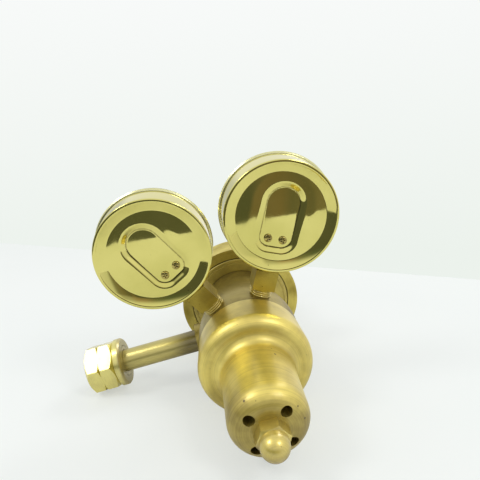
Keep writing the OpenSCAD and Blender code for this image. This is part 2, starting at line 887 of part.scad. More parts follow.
// Front bonnet: clamped flange, bell-shaped shoulder, barrel and the boss for the adjusting screw
module front_bonnet() {
    shoulder_y = ring_end_y + 2;
    shoulder_r = 34;
    shoulder_len = 17;
    steps = 12;
    room_y = front_slip_y + 4;
    barrel_edge = 4;
    boss_end_y = front_barrel_end + 4;
    as_laid()
    color(BRASS)
    turned()
    difference() {
        union() {
            band(0, front_flange_r, front_slip_y, ring_end_y);
            band(0, shoulder_r + 1.5, ring_end_y - lap, shoulder_y);
            polygon(concat(
                [[0, shoulder_y - lap]],
                [for (i = [0:steps]) [
                    front_barrel_r + (shoulder_r - front_barrel_r) * (1 - sin(90 * i / steps)),
                    shoulder_y - lap + shoulder_len * (1 - cos(90 * i / steps))
                ]],
                [[0, shoulder_y + shoulder_len]]
            ));
            polygon([[0, shoulder_y], [front_barrel_r, shoulder_y + shoulder_len - 1],
                [front_barrel_r, front_barrel_end - barrel_edge], [front_barrel_r - barrel_edge, front_barrel_end],
                [0, front_barrel_end]]);
            band(0, screw_r + 4, front_barrel_end - lap, boss_end_y);
        }
        band(-1, front_chamber_r, front_slip_y - 1, room_y);
        polygon([[-1, room_y - lap], [front_chamber_r, room_y - lap], [spring_room_r, room_y + room_taper],
            [-1, room_y + room_taper]]);
        band(-1, spring_room_r, room_y, front_barrel_end - front_end_wall);
        band(-1, screw_r + seat, room_y, boss_end_y + 1);
    }
}

module adjusting_screw() {
    as_laid()
    color(STEEL)
    difference() {
        turned()
        polygon([[0, screw_tip_y()], [screw_r - tip_step, screw_tip_y()],
            [screw_r - tip_step, front_button_y + button_t], [screw_r, front_button_y + button_t + tip_step],
            [screw_r, screw_end_y - 1], [screw_r - 1, screw_end_y], [0, screw_end_y]]);
        translate([-2 * screw_r, tee_ahead, 0])
        rotate([0, 90, 0])
        cylinder(r = tee_r + seat, h = 4 * screw_r);
    }
}

function screw_tip_y() = front_button_y + button_t - dimple;

module tee_bar() {
    as_laid()
    color(STEEL)
    translate([-tee_len / 2, tee_ahead, 0])
    rotate([0, 90, 0])
    rotate_extrude()
    polygon([[0, 0], [tee_r - 1, 0], [tee_r, 1], [tee_r, tee_len - 1], [tee_r - 1, tee_len], [0, tee_len]]);
}

module front_spring_button() {
    as_laid()
    color(STEEL)
    translate([0, front_button_y, 0])
    spring_button(screw_r - tip_step);
}

module front_range_spring() {
    as_laid()
    color(STEEL)
    translate([0, front_plate_y, 0])
    rotate([-90, 0, 0])
    coil(range_spring_r, range_wire, range_turns, front_button_y - front_plate_y);
}

module front_diaphragm_plate() {
    as_laid()
    color(BRASS)
    translate([0, body_end_y + diaphragm_t, 0])
    diaphragm_plate(rear_chamber_r - 1);
}

module front_diaphragm() {
    as_laid()
    color(RUBBER)
    ring_y(0, lip_r - 0.5, body_end_y, body_end_y + diaphragm_t);
}

module front_slip_ring() {
    as_laid()
    color(STEEL)
    ring_y(front_chamber_r + 0.6, lip_r - 0.5, body_end_y + diaphragm_t, front_slip_y);
}

module outlet_fitting() {
    seat_r = outlet_seat();
    hex_h = 5;
    as_laid()
    color(BRASS)
    at_port(outlet_angle, outlet_ahead)
    difference() {
        union() {
            translate([0, 0, port_hole_bottom + 3])
            cylinder(r = outlet_thread_r - 0.3, h = seat_r - port_hole_bottom);
            translate([0, 0, seat_r])
            cylinder(r = outlet_thread_r + 2.6, h = hex_h, $fn = 6);
            translate([0, 0, seat_r])
            cylinder(r = outlet_thread_r, h = outlet_reach - seat_r - 1);
            translate([0, 0, outlet_reach - 1 - lap])
            cylinder(r1 = outlet_thread_r, r2 = outlet_thread_r - 1, h = 1 + lap, $fn = 96);
        }
        cylinder(r = passage_r + 1, h = outlet_reach + 1);
        translate([0, 0, outlet_reach - 3])
        cylinder(r1 = passage_r + 1, r2 = outlet_thread_r - 2, h = 3 + lap, $fn = 96);
    }
}

// Screw recess in the back of a gauge: round at the top, fuller below, with sloping walls
module screw_recess(y_from, y_to, grow) {
    hull() {
        recess_corner([0, pan_top - pan_half], pan_half + grow, y_from, y_to);
        for (side = [-1, 1])
        recess_corner([side * (pan_half - pan_corner), pan_corner - pan_low], pan_corner + grow, y_from, y_to);
    }
}

module recess_corner(p, r, y_from, y_to) {
    translate([p[0], y_from, p[1]])
    rotate([-90, 0, 0])
    cylinder(r1 = r, r2 = r - pan_slope * (y_to - y_from) / pan_depth, h = y_to - y_from, $fn = 72);
}

// Drawn case: rolled rim, sunk disc, screw recess and a neck that takes the bezel
module gauge_case() {
    difference() {
        union() {
            turned()
            difference() {
                union() {
                    polygon([[0, disc_depth], [disc_r, disc_depth], [rim_r - 2.2, 0.5], [rim_r - rim_round, 0.2],
                        [rim_r, rim_round], [case_mouth_r, case_len], [case_thread_r, case_len],
                        [case_thread_r, case_end_y], [0, case_end_y]]);
                    translate([rim_r - rim_round, rim_round])
                    circle(rim_round);
                }
                polygon([[-1, disc_depth + sheet], [disc_r + 0.2, disc_depth + sheet], [rim_r - 2, rim_round + 0.3],
                    [case_inner_r - 0.3, rim_round + 0.6], [case_inner_r, rim_round + 2],
                    [case_inner_r, case_end_y + 1], [-1, case_end_y + 1]]);
            }
            screw_recess(disc_depth + 0.3, pan_inner_y, sheet / 2);
        }
        screw_recess(disc_depth - lap, pan_y, 0);
        translate([0, stem_depth, -case_mouth_r - 1])
        cylinder(r = neck_stem_r + seat, h = 6);
        for (side = [-1, 1])
        shaft_y([side * back_screw_x, back_screw_z], 1.45, disc_depth, pan_inner_y + 1);
    }
}

// Bezel ring: knurled band, rounded front and the lip that holds the lens
module gauge_bezel() {
    front_r = bezel_r - 0.7;
    turned()
    polygon([[case_thread_r + seat, case_len + 0.1], [bezel_r, case_len + 0.1],
        [bezel_r, case_len + knurl_len], [front_r, case_len + knurl_len + 0.3],
        [front_r, bezel_end_y - 1.2], [front_r - 1.2, bezel_end_y], [bezel_open_r, bezel_end_y],
        [bezel_open_r, bezel_lip_y], [case_thread_r + seat, bezel_lip_y]]);
}

module gauge_lens() {
    ring_y(0, lens_r, lens_y, lens_y + lens_t);
}

module gauge_dial() {
    ring_y(arbor_r + 1.2, dial_r, dial_y, dial_y + dial_thick);
}

// Pointer with its hub, arbor and pinion
module gauge_pointer() {
    rest = -pointer_sweep / 2 + 90;
    tip = polar(pointer_len, rest);
    side = polar(1.3, rest + 90);
    tail = polar(9, rest + 180);
    sheet_at(pointer_y, 0.5)
    polygon([tip, side, tail + side, tail - side, -side]);
    shaft_y([0, 0], 2.2, pointer_y - 0.4, pointer_y + 1.4);
    shaft_y([0, 0], arbor_r, pad_y + 0.3, pointer_y + 1);
    sheet_at(gear_y - 0.1, gear_thick + 0.2)
    polygon([
        for (i = [0:pinion_teeth - 1])
        for (p = tooth(pinion_teeth, pinion_phase() + (i + 0.5) * 360 / pinion_teeth))
        p
    ]);
}

function pinion_phase() = sector_bearing - sector_travel / 2 * gear_ratio;

// Stem that carries the gauge: port thread, square shank, neck, block and the pad for the movement
module gauge_socket() {
    difference() {
        union() {
            translate([0, stem_depth, -gauge_reach + port_hole_bottom])
            cylinder(r = port_thread_r, h = gauge_reach - port_hole_bottom - shank_low + lap);
            translate([-shank_w / 2, stem_depth - shank_w / 2, -shank_low])
            cube([shank_w, shank_w, shank_len]);
            translate([0, stem_depth, -shank_top - lap])
            cylinder(r = neck_stem_r, h = shank_top + block_low + 1);
            translate([block_left, pan_inner_y, block_low])
            cube([block_right - block_left, block_front - pan_inner_y, block_top - block_low]);
            translate([block_left, pan_inner_y, block_top - lap])
            cube([-2 * block_left, pad_y - pan_inner_y, pad_low - block_top]);
        }
        translate([0, stem_depth, -gauge_reach])
        cylinder(r = passage_r, h = gauge_reach + block_low + 6);
        translate([0, stem_depth - 1, block_low + 5])
        rotate([0, 90, 0])
        cylinder(r = 1.2, h = 7, $fn = 48);
        bourdon_arc(bourdon_root - 0.2, bourdon_root + seat_angle, seat);
        for (side = [-1, 1])
        shaft_y([side * back_screw_x, back_screw_z], 1.45, pan_inner_y - 1, pad_y + 1);
    }
}

bourdon_root = -72;
bourdon_tip = 200;

// Section of the Bourdon tube, swept round the gauge's axis between two bearings
module bourdon_arc(from, to, grow) {
    half = bourdon_t / 2 + grow;
    flat = bourdon_w / 2 - bourdon_t / 2;
    rotate([-90, 0, 0])
    rotate([0, 0, -to])
    rotate_extrude(angle = to - from)
    translate([bourdon_r, bourdon_y]) {
        translate([0, flat])
        circle(half, $fn = 32);
        translate([0, -flat])
        circle(half, $fn = 32);
        translate([-half, -flat])
        square([2 * half, 2 * flat]);
    }
}

// Bourdon tube with its closed end, the lug and the link's pin
module gauge_bourdon_tube() {
    bore_inset = -0.4;
    lug_y = gear_y + 0.1;
    tip_end = polar(bourdon_r, bourdon_tip + 4);
    difference() {
        bourdon_arc(bourdon_root, bourdon_tip, 0);
        bourdon_arc(bourdon_root - 1, bourdon_tip - 3, bore_inset);
    }
    bourdon_arc(bourdon_tip - 4, bourdon_tip + 4, 0.4);
    sheet_at(lug_y, gear_thick - 0.1)
    bar(tip_end, tip_pin, 1.2);
    shaft_y(tip_pin, arbor_r * 0.7, lug_y, link_y + link_thick + 0.3);
}

module gauge_link() {
    sheet_at(link_y, link_thick)
    difference() {
        bar(tail_pin, tip_pin, 1.4);
        translate(tail_pin)
        circle(arbor_r * 0.7 + running, $fn = 48);
        translate(tip_pin)
        circle(arbor_r * 0.7 + running, $fn = 48);
    }
}

// Outline shared by the movement's two plates
module plate_outline() {
    low_right = [-block_left - 1, block_top + 3];
    low_left = [block_left + 1, block_top + 3];
    top = [0, 1.5];
    corners = [pillar_right, top, pillar_left, low_left, low_right];
    polygon(corners);
    for (i = [0:4])
    bar(corners[i], corners[(i + 1) % 5], 2.4);
}

// Two plates on pillars, which carry the pinion's and the sector's arbors and the dial
module gauge_movement_frame() {
    difference() {
        union() {
            sheet_at(pad_y, plate_thick)
            plate_outline();
            sheet_at(front_plate_level, plate_thick - 0.2)
            plate_outline();
            for (p = [pillar_right, pillar_left]) {
                shaft_y(p, 1.6, pad_y, front_plate_level + 0.1);
                shaft_y(p, 1.4, front_plate_level, dial_y);
            }
        }
        shaft_y([0, 0], arbor_r + running, pad_y - 1, dial_y);
        shaft_y(sector_pivot, arbor_r + running, pad_y - 1, dial_y);
        for (side = [-1, 1])
        shaft_y([side * back_screw_x, back_screw_z], 1.45, pad_y - 1, pad_y + 2);
    }
}

// Toothed sector with its arms, hub, tail, arbor and the link's pin
module gauge_sector_gear() {
    pitch = 360 / sector_teeth;
    each_side = ceil(sector_travel / 2 / pitch) + 1;
    span = (each_side + 0.5) * pitch;
    rim_in = root_r(sector_teeth) - 1.1;
    sheet_at(gear_y, gear_thick)
    translate(sector_pivot) {
        polygon(concat(
            [for (i = [-each_side:each_side], p = tooth(sector_teeth, sector_rest + i * pitch)) p],
            [for (i = [12:-1:-12]) polar(rim_in, sector_rest + span * i / 12)]
        ));
        for (i = [-1, 1])
        bar([0, 0], polar(rim_in + 0.4, sector_rest + i * (span - 3)), 0.8);
        bar([0, 0], polar(tail_len, tail_rest), 1.5);
        circle(2.2, $fn = 48);
    }
    shaft_y(sector_pivot, arbor_r, pad_y + 0.3, front_plate_level + 0.6);
    shaft_y(tail_pin, arbor_r * 0.7, gear_y, link_y + link_thick + 0.3);
}

// Flat spiral spring between the pinion's arbor and a fixed outer end
module gauge_hairspring() {
    turns = 4;
    steps = 24;
    blade = 0.16;
    last = turns * steps;
    inner = arbor_r + 0.1;
    outer = 5.5;
    sheet_at(pad_y + plate_thick + 0.4, 0.6)
    polygon(concat(
        [for (i = [0:last]) polar(inner + (outer - inner) * i / last, 360 * i / steps)],
        [for (i = [last:-1:0]) polar(inner + blade + (outer - inner) * i / last, 360 * i / steps)]
    ));
}

// Two slotted screws that hold the case to the socket
module gauge_back_screws() {
    for (side = [-1, 1])
    difference() {
        union() {
            shaft_y([side * back_screw_x, back_screw_z], back_screw_head_r, disc_depth + 0.3, pan_y);
            shaft_y([side * back_screw_x, back_screw_z], 1.4, pan_y - lap, pad_y + 1);
        }
        translate([side * back_screw_x, disc_depth, back_screw_z])
        rotate([0, 35 * side, 0])
        cube([2 * back_screw_head_r + 1, 1.3, 0.6], center = true);
    }
}

module left_case() { as_laid() color(BRASS) at_gauge(left_angle) gauge_case(); }
module left_bezel() { as_laid() color(SATIN_BRASS) at_gauge(left_angle) gauge_bezel(); }
module left_lens() { as_laid() color("lightcyan") at_gauge(left_angle) gauge_lens(); }
module left_dial() { as_laid() color("white") at_gauge(left_angle) gauge_dial(); }
module left_pointer() { as_laid() color(RUBBER) at_gauge(left_angle) gauge_pointer(); }
module left_socket() { as_laid() color(OLIVE_BRASS) at_gauge(left_angle) gauge_socket(); }
module left_bourdon_tube() { as_laid() color(BRASS) at_gauge(left_angle) gauge_bourdon_tube(); }
module left_link() { as_laid() color(BRASS) at_gauge(left_angle) gauge_link(); }
module left_movement_frame() { as_laid() color(BRASS) at_gauge(left_angle) gauge_movement_frame(); }
module left_sector_gear() { as_laid() color(BRASS) at_gauge(left_angle) gauge_sector_gear(); }
module left_hairspring() { as_laid() color(BRASS) at_gauge(left_angle) gauge_hairspring(); }
module left_back_screws() { as_laid() color(STEEL) at_gauge(left_angle) gauge_back_screws(); }

module right_case() { as_laid() color(BRASS) at_gauge(right_angle) gauge_case(); }
module right_bezel() { as_laid() color(SATIN_BRASS) at_gauge(right_angle) gauge_bezel(); }
module right_lens() { as_laid() color("lightcyan") at_gauge(right_angle) gauge_lens(); }
module right_dial() { as_laid() color("white") at_gauge(right_angle) gauge_dial(); }
module right_pointer() { as_laid() color(RUBBER) at_gauge(right_angle) gauge_pointer(); }
module right_socket() { as_laid() color(OLIVE_BRASS) at_gauge(right_angle) gauge_socket(); }
module right_bourdon_tube() { as_laid() color(BRASS) at_gauge(right_angle) gauge_bourdon_tube(); }
module right_link() { as_laid() color(BRASS) at_gauge(right_angle) gauge_link(); }
module right_movement_frame() { as_laid() color(BRASS) at_gauge(right_angle) gauge_movement_frame(); }
module right_sector_gear() { as_laid() color(BRASS) at_gauge(right_angle) gauge_sector_gear(); }
module right_hairspring() { as_laid() color(BRASS) at_gauge(right_angle) gauge_hairspring(); }
module right_back_screws() { as_laid() color(STEEL) at_gauge(right_angle) gauge_back_screws(); }

regulator_body();
rear_bonnet();
rear_cap_nut();
rear_preset_screw();
rear_spring_button();
rear_range_spring();
rear_diaphragm_plate();
rear_diaphragm();
rear_slip_ring();
first_stage_nozzle();
first_stage_stem();
first_stage_valve_spring();
inlet_nipple();
inlet_filter();
nut_washer();
inlet_nut();
front_clamp_ring();
front_bonnet();
adjusting_screw();
tee_bar();
front_spring_button();
front_range_spring();
front_diaphragm_plate();
front_diaphragm();
front_slip_ring();
second_stage_nozzle();
second_stage_stem();
second_stage_valve_spring();
outlet_fitting();
left_case();
left_bezel();
left_lens();
left_dial();
left_pointer();
left_socket();
left_bourdon_tube();
left_link();
left_movement_frame();
left_sector_gear();
left_hairspring();
left_back_screws();
right_case();
right_bezel();
right_lens();
right_dial();
right_pointer();
right_socket();
right_bourdon_tube();
right_link();
right_movement_frame();
right_sector_gear();
right_hairspring();
right_back_screws();
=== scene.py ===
import json
import math

import bmesh
import bpy
from mathutils import Euler, Matrix, Vector


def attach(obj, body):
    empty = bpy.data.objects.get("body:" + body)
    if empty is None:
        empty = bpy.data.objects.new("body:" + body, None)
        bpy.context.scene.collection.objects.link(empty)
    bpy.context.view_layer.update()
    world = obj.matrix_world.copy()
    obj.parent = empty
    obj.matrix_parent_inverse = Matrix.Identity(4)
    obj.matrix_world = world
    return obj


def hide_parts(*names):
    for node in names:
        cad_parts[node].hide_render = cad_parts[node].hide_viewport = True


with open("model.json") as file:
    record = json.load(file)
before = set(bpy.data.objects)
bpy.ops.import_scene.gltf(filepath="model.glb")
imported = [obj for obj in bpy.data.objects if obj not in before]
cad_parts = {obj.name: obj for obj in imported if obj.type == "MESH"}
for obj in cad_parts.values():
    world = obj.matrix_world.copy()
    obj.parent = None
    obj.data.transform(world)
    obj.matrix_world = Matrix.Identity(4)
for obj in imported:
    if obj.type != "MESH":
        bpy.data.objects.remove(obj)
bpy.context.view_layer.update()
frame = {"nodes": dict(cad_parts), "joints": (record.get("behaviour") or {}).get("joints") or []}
scene = bpy.context.scene
nodes = frame["nodes"]
mm = 0.001
print("frame loaded:", len(nodes), "nodes")

# Where things lie: the frame's joints carry the regulator's axes
joints = {joint["name"]: joint for joint in frame["joints"]}
mainAxis = -Vector(joints["screw_turn"]["axis"])  # from the acorn nut to the adjusting screw
rightAxis = -Vector(joints["nut_turn"]["axis"])  # away from the inlet
upAxis = rightAxis.cross(mainAxis)
screwPoint = Vector(joints["screw_turn"]["pos_m"])
nutPoint = Vector(joints["nut_turn"]["pos_m"])
centre = screwPoint + mainAxis * (nutPoint - screwPoint).dot(mainAxis)


def placeFrom(xAxis, yAxis, zAxis, point):
    turn = Matrix((xAxis, yAxis, zAxis)).transposed().to_4x4()
    return Matrix.Translation(point) @ turn


bodyPlace = placeFrom(rightAxis, mainAxis, upAxis, centre)
inletPlace = placeFrom(mainAxis, -rightAxis, upAxis, centre)  # its Y runs out along the inlet
gearLevel = 10.0 * mm  # from the back of a gauge to its pinion


def gaugePlaceOf(side):
    joint = joints[side + "_pointer_turn"]
    point = Vector(joint["pos_m"]) - mainAxis * gearLevel
    out = point - centre
    out = (out - mainAxis * out.dot(mainAxis)).normalized()
    return placeFrom(mainAxis.cross(out), mainAxis, out, point)


gaugePlace = {side: gaugePlaceOf(side) for side in ("left", "right")}
alongY = Matrix.Rotation(math.radians(-90), 4, "X")  # turns a piece made along Z to lie along Y


# Small helpers
def linear(hexText):
    parts = [int(hexText[i : i + 2], 16) / 255 for i in (1, 3, 5)]
    return [c / 12.92 if c <= 0.04045 else ((c + 0.055) / 1.055) ** 2.4 for c in parts] + [1.0]


def addNode(tree, kind, settings=None, inputs=None):
    node = tree.nodes.new(kind)
    for key, value in (settings or {}).items():
        setattr(node, key, value)
    for key, value in (inputs or {}).items():
        if isinstance(value, bpy.types.NodeSocket):
            tree.links.new(value, node.inputs[key])
        else:
            node.inputs[key].default_value = value
    return node


def newMaterial(name):
    material = bpy.data.materials.new(name)
    material.use_nodes = True
    tree = material.node_tree
    shader = tree.nodes["Principled BSDF"]
    return material, tree, shader


def placedCoordinates(tree, place):
    # Object coordinates, moved and turned to the piece's own axis, so that a pattern follows it
    coordinates = addNode(tree, "ShaderNodeTexCoord")
    mapping = addNode(tree, "ShaderNodeMapping", {"vector_type": "TEXTURE"}, {
        "Vector": coordinates.outputs["Object"],
        "Location": place.to_translation(),
        "Rotation": place.to_euler("XYZ"),
    })
    return mapping.outputs["Vector"]


# Brass finishes: each is copper and zinc alloy, and what differs is how its surface was made, how far it has
# dulled, and on some pieces painted light or shade. A look can add a film, as weight, roughness and index,
# and a fade, as its direction, where it starts and ends in mm, and its amount
stainEdge = 1.45  # a stain's soft edge ends at this many times its size
stainStrength = 0.9
pitEdge = 0.05  # width of a pit's edge, as a share of its noise
pitDent = -0.6  # pits, stains and the painted crease shade sink by this share of the lines' depth
grainStretch = 0.04  # a drawing mark's width as a share of its length
creaseShadeMark = "creaseShade"  # the mesh attribute that says where painted shade goes in a crease


def grainOf(tree, look, where):
    # Coordinates that change fastest across the marks of the piece's making
    parts = addNode(tree, "ShaderNodeSeparateXYZ", None, {0: where})
    x, y, z = parts.outputs
    if look["grain"] == "rings":  # lathe or spinning marks run round the Y axis
        flat = addNode(tree, "ShaderNodeCombineXYZ", None, {"X": x, "Y": z})
        radius = addNode(tree, "ShaderNodeVectorMath", {"operation": "LENGTH"}, {0: flat.outputs[0]})
        grain = addNode(tree, "ShaderNodeCombineXYZ", None, {"X": radius.outputs["Value"], "Y": y})
    elif look["grain"] == "cloud":  # sheet keeps a faint waviness from the press
        grain = addNode(tree, "ShaderNodeVectorMath", {"operation": "ADD"}, {0: where, 1: (0.3, 0.1, 0.2)})
    else:  # drawing marks run along the Y axis
        slow = addNode(tree, "ShaderNodeMath", {"operation": "MULTIPLY"}, {0: y, 1: grainStretch})
        grain = addNode(tree, "ShaderNodeCombineXYZ", None, {"X": x, "Y": slow.outputs[0], "Z": z})
    return grain.outputs[0]


def dullnessOf(tree, look, where, lines):
    cloud = addNode(tree, "ShaderNodeTexNoise", None, {
        "Vector": where, "Scale": 1 / (look["cloudSize"] * mm), "Detail": 4.0, "Roughness": 0.55})
    dulling = addNode(tree, "ShaderNodeMapRange", {"interpolation_type": "SMOOTHSTEP"}, {
        "Value": cloud.outputs["Fac"], "From Min": 0.35, "From Max": 0.72, "To Max": look["clouding"]})
    lineTone = addNode(tree, "ShaderNodeMapRange", None, {
        "Value": lines.outputs["Fac"], "From Min": 0.3, "From Max": 0.7, "To Min": -0.5, "To Max": 0.5})
    tone = addNode(tree, "ShaderNodeMath", {"operation": "MULTIPLY_ADD", "use_clamp": True}, {
        0: lineTone.outputs[0], 1: look["lineTone"], 2: dulling.outputs[0]})
    if "fade" in look:  # darker and rougher towards one side, along the given direction; on the tube it is painted shade
        toward, start, end, amount = look["fade"]
        along = addNode(tree, "ShaderNodeVectorMath", {"operation": "DOT_PRODUCT"}, {0: where, 1: toward})
        far = addNode(tree, "ShaderNodeMapRange", {"interpolation_type": "SMOOTHSTEP"}, {
            "Value": along.outputs["Value"], "From Min": start * mm, "From Max": end * mm, "To Max": amount})
        tone = addNode(tree, "ShaderNodeMath", {"operation": "ADD", "use_clamp": True}, {
            0: tone.outputs[0], 1: far.outputs[0]})
    return tone.outputs[0]


def spotsOf(tree, look, where):
    pits = addNode(tree, "ShaderNodeTexNoise", None, {
        "Vector": where, "Scale": 1 / (look["pitSize"] * mm), "Detail": 2.0, "Roughness": 0.5})
    marksAndShade = addNode(tree, "ShaderNodeMapRange", {"interpolation_type": "SMOOTHSTEP"}, {
        "Value": pits.outputs["Fac"], "From Min": look["pitFrom"], "From Max": look["pitFrom"] + pitEdge})
    for point, size in look["stains"]:  # tarnish, in mm from the regulator's middle
        away = addNode(tree, "ShaderNodeVectorMath", {"operation": "DISTANCE"}, {
            0: where, 1: [c * mm for c in point]})
        ragged = addNode(tree, "ShaderNodeMath", {"operation": "MULTIPLY_ADD"}, {
            0: pits.outputs["Fac"], 1: size * mm, 2: away.outputs["Value"]})
        stain = addNode(tree, "ShaderNodeMapRange", {"interpolation_type": "SMOOTHSTEP"}, {
            "Value": ragged.outputs[0], "From Min": size * mm, "From Max": size * stainEdge * mm,
            "To Min": stainStrength, "To Max": 0.0})
        marksAndShade = addNode(tree, "ShaderNodeMath", {"operation": "MAXIMUM"}, {
            0: marksAndShade.outputs[0], 1: stain.outputs[0]})
    if look["creaseShaded"]:  # painted shade in creases, marked on the mesh itself
        shadeMark = addNode(tree, "ShaderNodeAttribute", {"attribute_name": creaseShadeMark})
        marksAndShade = addNode(tree, "ShaderNodeMath", {"operation": "MAXIMUM"}, {
            0: marksAndShade.outputs[0], 1: shadeMark.outputs["Fac"]})
    return marksAndShade.outputs[0]


def brassFinish(name, look, place=None):
    material, tree, shader = newMaterial(name)
    where = placedCoordinates(tree, place or bodyPlace)
    lines = addNode(tree, "ShaderNodeTexNoise", None, {
        "Vector": grainOf(tree, look, where), "Scale": 1 / (look["lineStep"] * mm), "Detail": 3.0,
        "Roughness": 0.6})
    dullnessAndShade = dullnessOf(tree, look, where, lines)
    marksAndShade = spotsOf(tree, look, where)
    metal = addNode(tree, "ShaderNodeMix", {"data_type": "RGBA"}, {
        "Factor": dullnessAndShade, 6: linear(look["bright"]), 7: linear(look["dull"])})
    colour = addNode(tree, "ShaderNodeMix", {"data_type": "RGBA"}, {
        "Factor": marksAndShade, 6: metal.outputs[2], 7: linear(look["stain"])})
    rough = addNode(tree, "ShaderNodeMapRange", None, {
        "Value": dullnessAndShade, "To Min": look["rough"], "To Max": look["rough"] + look["roughSpread"]})
    height = addNode(tree, "ShaderNodeMath", {"operation": "MULTIPLY_ADD"}, {
        0: marksAndShade, 1: pitDent, 2: lines.outputs["Fac"]})
    bump = addNode(tree, "ShaderNodeBump", None, {
        "Strength": look["lineStrength"], "Distance": look["lineDepth"] * mm, "Height": height.outputs[0]})
    tree.links.new(colour.outputs[2], shader.inputs["Base Color"])
    tree.links.new(rough.outputs[0], shader.inputs["Roughness"])
    tree.links.new(bump.outputs["Normal"], shader.inputs["Normal"])
    shader.inputs["Metallic"].default_value = 1.0
    if "film" in look:  # zinc oxide or lacquer: it adds a whiter sheen over the metal's own colour
        weight, filmRough, filmIor = look["film"]
        shader.inputs["Coat Weight"].default_value = weight
        shader.inputs["Coat Roughness"].default_value = filmRough
        shader.inputs["Coat IOR"].default_value = filmIor
    return material


plainLook = {
    "grain": "rings", "bright": "#cdbf74", "dull": "#ae9f58", "stain": "#4c3a1c", "rough": 0.26,
    "roughSpread": 0.14, "lineStep": 0.5, "lineDepth": 0.05, "lineStrength": 0.35, "lineTone": 0.3,
    "cloudSize": 22, "clouding": 1.0, "pitSize": 2.2, "pitFrom": 0.74, "stains": [], "creaseShaded": False,
}

# Bar brass turned on a lathe and left bare: fine rings, and a grey film where hands don't polish it
turnedBodyBrass = brassFinish("turnedBarBrass", {
    **plainLook, "bright": "#a89750", "dull": "#7c6d38", "rough": 0.44, "film": (0.3, 0.35, 1.5)})

# Spun and satin-brushed brass: soft rings that stretch each highlight round the bell
spunSatinBrass = brassFinish("spunSatinBrass", {
    **plainLook, "bright": "#e5d16c", "dull": "#97843a", "rough": 0.44, "clouding": 0.5, "lineStep": 0.7,
    # Its fade makes the bell's dome end darker towards its lower left
    "film": (0.45, 0.3, 1.9), "fade": ((-0.3, -0.6, -0.5), 38, 62, 0.7),
    "stains": [
        ((17.4, -98.8, 0.7), 0.8), ((15.6, -98.5, 8.6), 0.7), ((-8.7, -95.9, 17.9), 0.8),
        ((12.2, -65.2, 17.4), 0.9)]})

# The clamp ring was turned from bar as well; oxide builds up on it where it isn't handled
oxidisedBrass = brassFinish("oxidisedTurnedBrass", {
    **plainLook, "bright": "#dccb6e", "dull": "#ae9c4c", "rough": 0.36, "lineStep": 1.1, "lineDepth": 0.12,
    "lineStrength": 0.6})

# The flange face was turned from the body's bar, and keeps the clear rings of its last facing cut; its colour
# is painted lighter than the drum's, as painted light
paintedLightFlangeBrass = brassFinish("facedFlangePaintedLightBrass", {
    **plainLook, "bright": "#d8c66a", "dull": "#b5a34e", "rough": 0.44, "lineStep": 0.9, "lineDepth": 0.1,
    "lineStrength": 0.6, "film": (0.4, 0.3, 2.0)})

# Milled from hexagon bar: the brightest piece, because a spanner keeps rubbing it
hexNutBrass = brassFinish("milledHexagonBrass", {
    **plainLook, "bright": "#e0d47a", "dull": "#a8995a", "rough": 0.28, "lineStep": 0.6, "clouding": 0.5,
    "film": (0.6, 0.2, 2.0), "fade": ((0.0, -1.0, 0.0), -87.2, -85.5, 0.8)}, inletPlace)
# The acorn nut was milled and the port threads were cut on a lathe, and both have gone dull
acornBrass = brassFinish("milledAcornBrass", {
    **plainLook, "bright": "#cfbb5e", "dull": "#96813a", "rough": 0.42, "cloudSize": 9, "clouding": 0.5,
    # Its fade makes the acorn nut and port threads darker towards the bottom
    "film": (0.6, 0.2, 2.0), "fade": ((-0.3, 0.0, -0.95), -3, 6, 0.8)})
# Tube and square bar, both drawn through a die: the marks run along them
drawnTubeBrass = brassFinish("drawnTubeBrass", {
    **plainLook, "grain": "length", "bright": "#bdaf60", "dull": "#6a5d2a", "rough": 0.34, "clouding": 0.25,
    # Its fade darkens the tube towards the body end: painted shade
    "film": (0.5, 0.28, 2.0), "fade": ((0.0, -1.0, 0.0), -58, -38, 0.85)}, inletPlace)
socketBrass = brassFinish("drawnSquareBrass", {
    **plainLook, "grain": "length", "bright": "#b09e4a", "dull": "#8a7834", "rough": 0.4})

# Sheet brass, deep drawn, buffed to a mirror and lacquered: reflections stay sharp and pale yellow
mirrorLook = {
    **plainLook, "bright": "#dad07b", "dull": "#cec56e", "stain": "#5c4a20", "rough": 0.03,
    "roughSpread": 0.04, "grain": "cloud", "lineStep": 16.0, "lineDepth": 0.12, "lineStrength": 0.1,
    # The stain colour also paints the shade in the recess's crease
    "lineTone": 0.1, "cloudSize": 30, "film": (0.25, 0.04, 1.5), "creaseShaded": True, "pitSize": 1.4,
    "pitFrom": 0.76,
}

# The bezel is turned and knurled, so it scatters light and looks paler than the case
bezelLook = {
    **plainLook, "bright": "#dedaa6", "dull": "#cac38a", "rough": 0.22, "lineStep": 0.6, "lineStrength": 0.3}
# The movement's plates, gears and tube are stamped or drawn, and stay clean inside the case
movementLook = {**plainLook, "grain": "length", "bright": "#d3b468", "dull": "#b6954a", "rough": 0.25}


def gaugeFinish(name, look):
    return {side: brassFinish(name + "." + side, look, place) for side, place in gaugePlace.items()}


mirrorBrass = gaugeFinish("buffedLacqueredBrass", mirrorLook)
bezelBrass = gaugeFinish("knurledBezelBrass", bezelLook)
movementBrass = gaugeFinish("stampedMovementBrass", movementLook)
# The small screws in the back were headed from brass wire and have browned under their lacquer
screwBrass = brassFinish("agedScrewBrass", {
    **plainLook, "bright": "#b8a85e", "dull": "#6a5a2c", "rough": 0.16, "cloudSize": 3,
    "film": (0.5, 0.05, 1.5)})
print("brass finishes made")


# Other materials
roughDrop, roughRise = 0.04, 0.06  # how far roughness swings with the grain


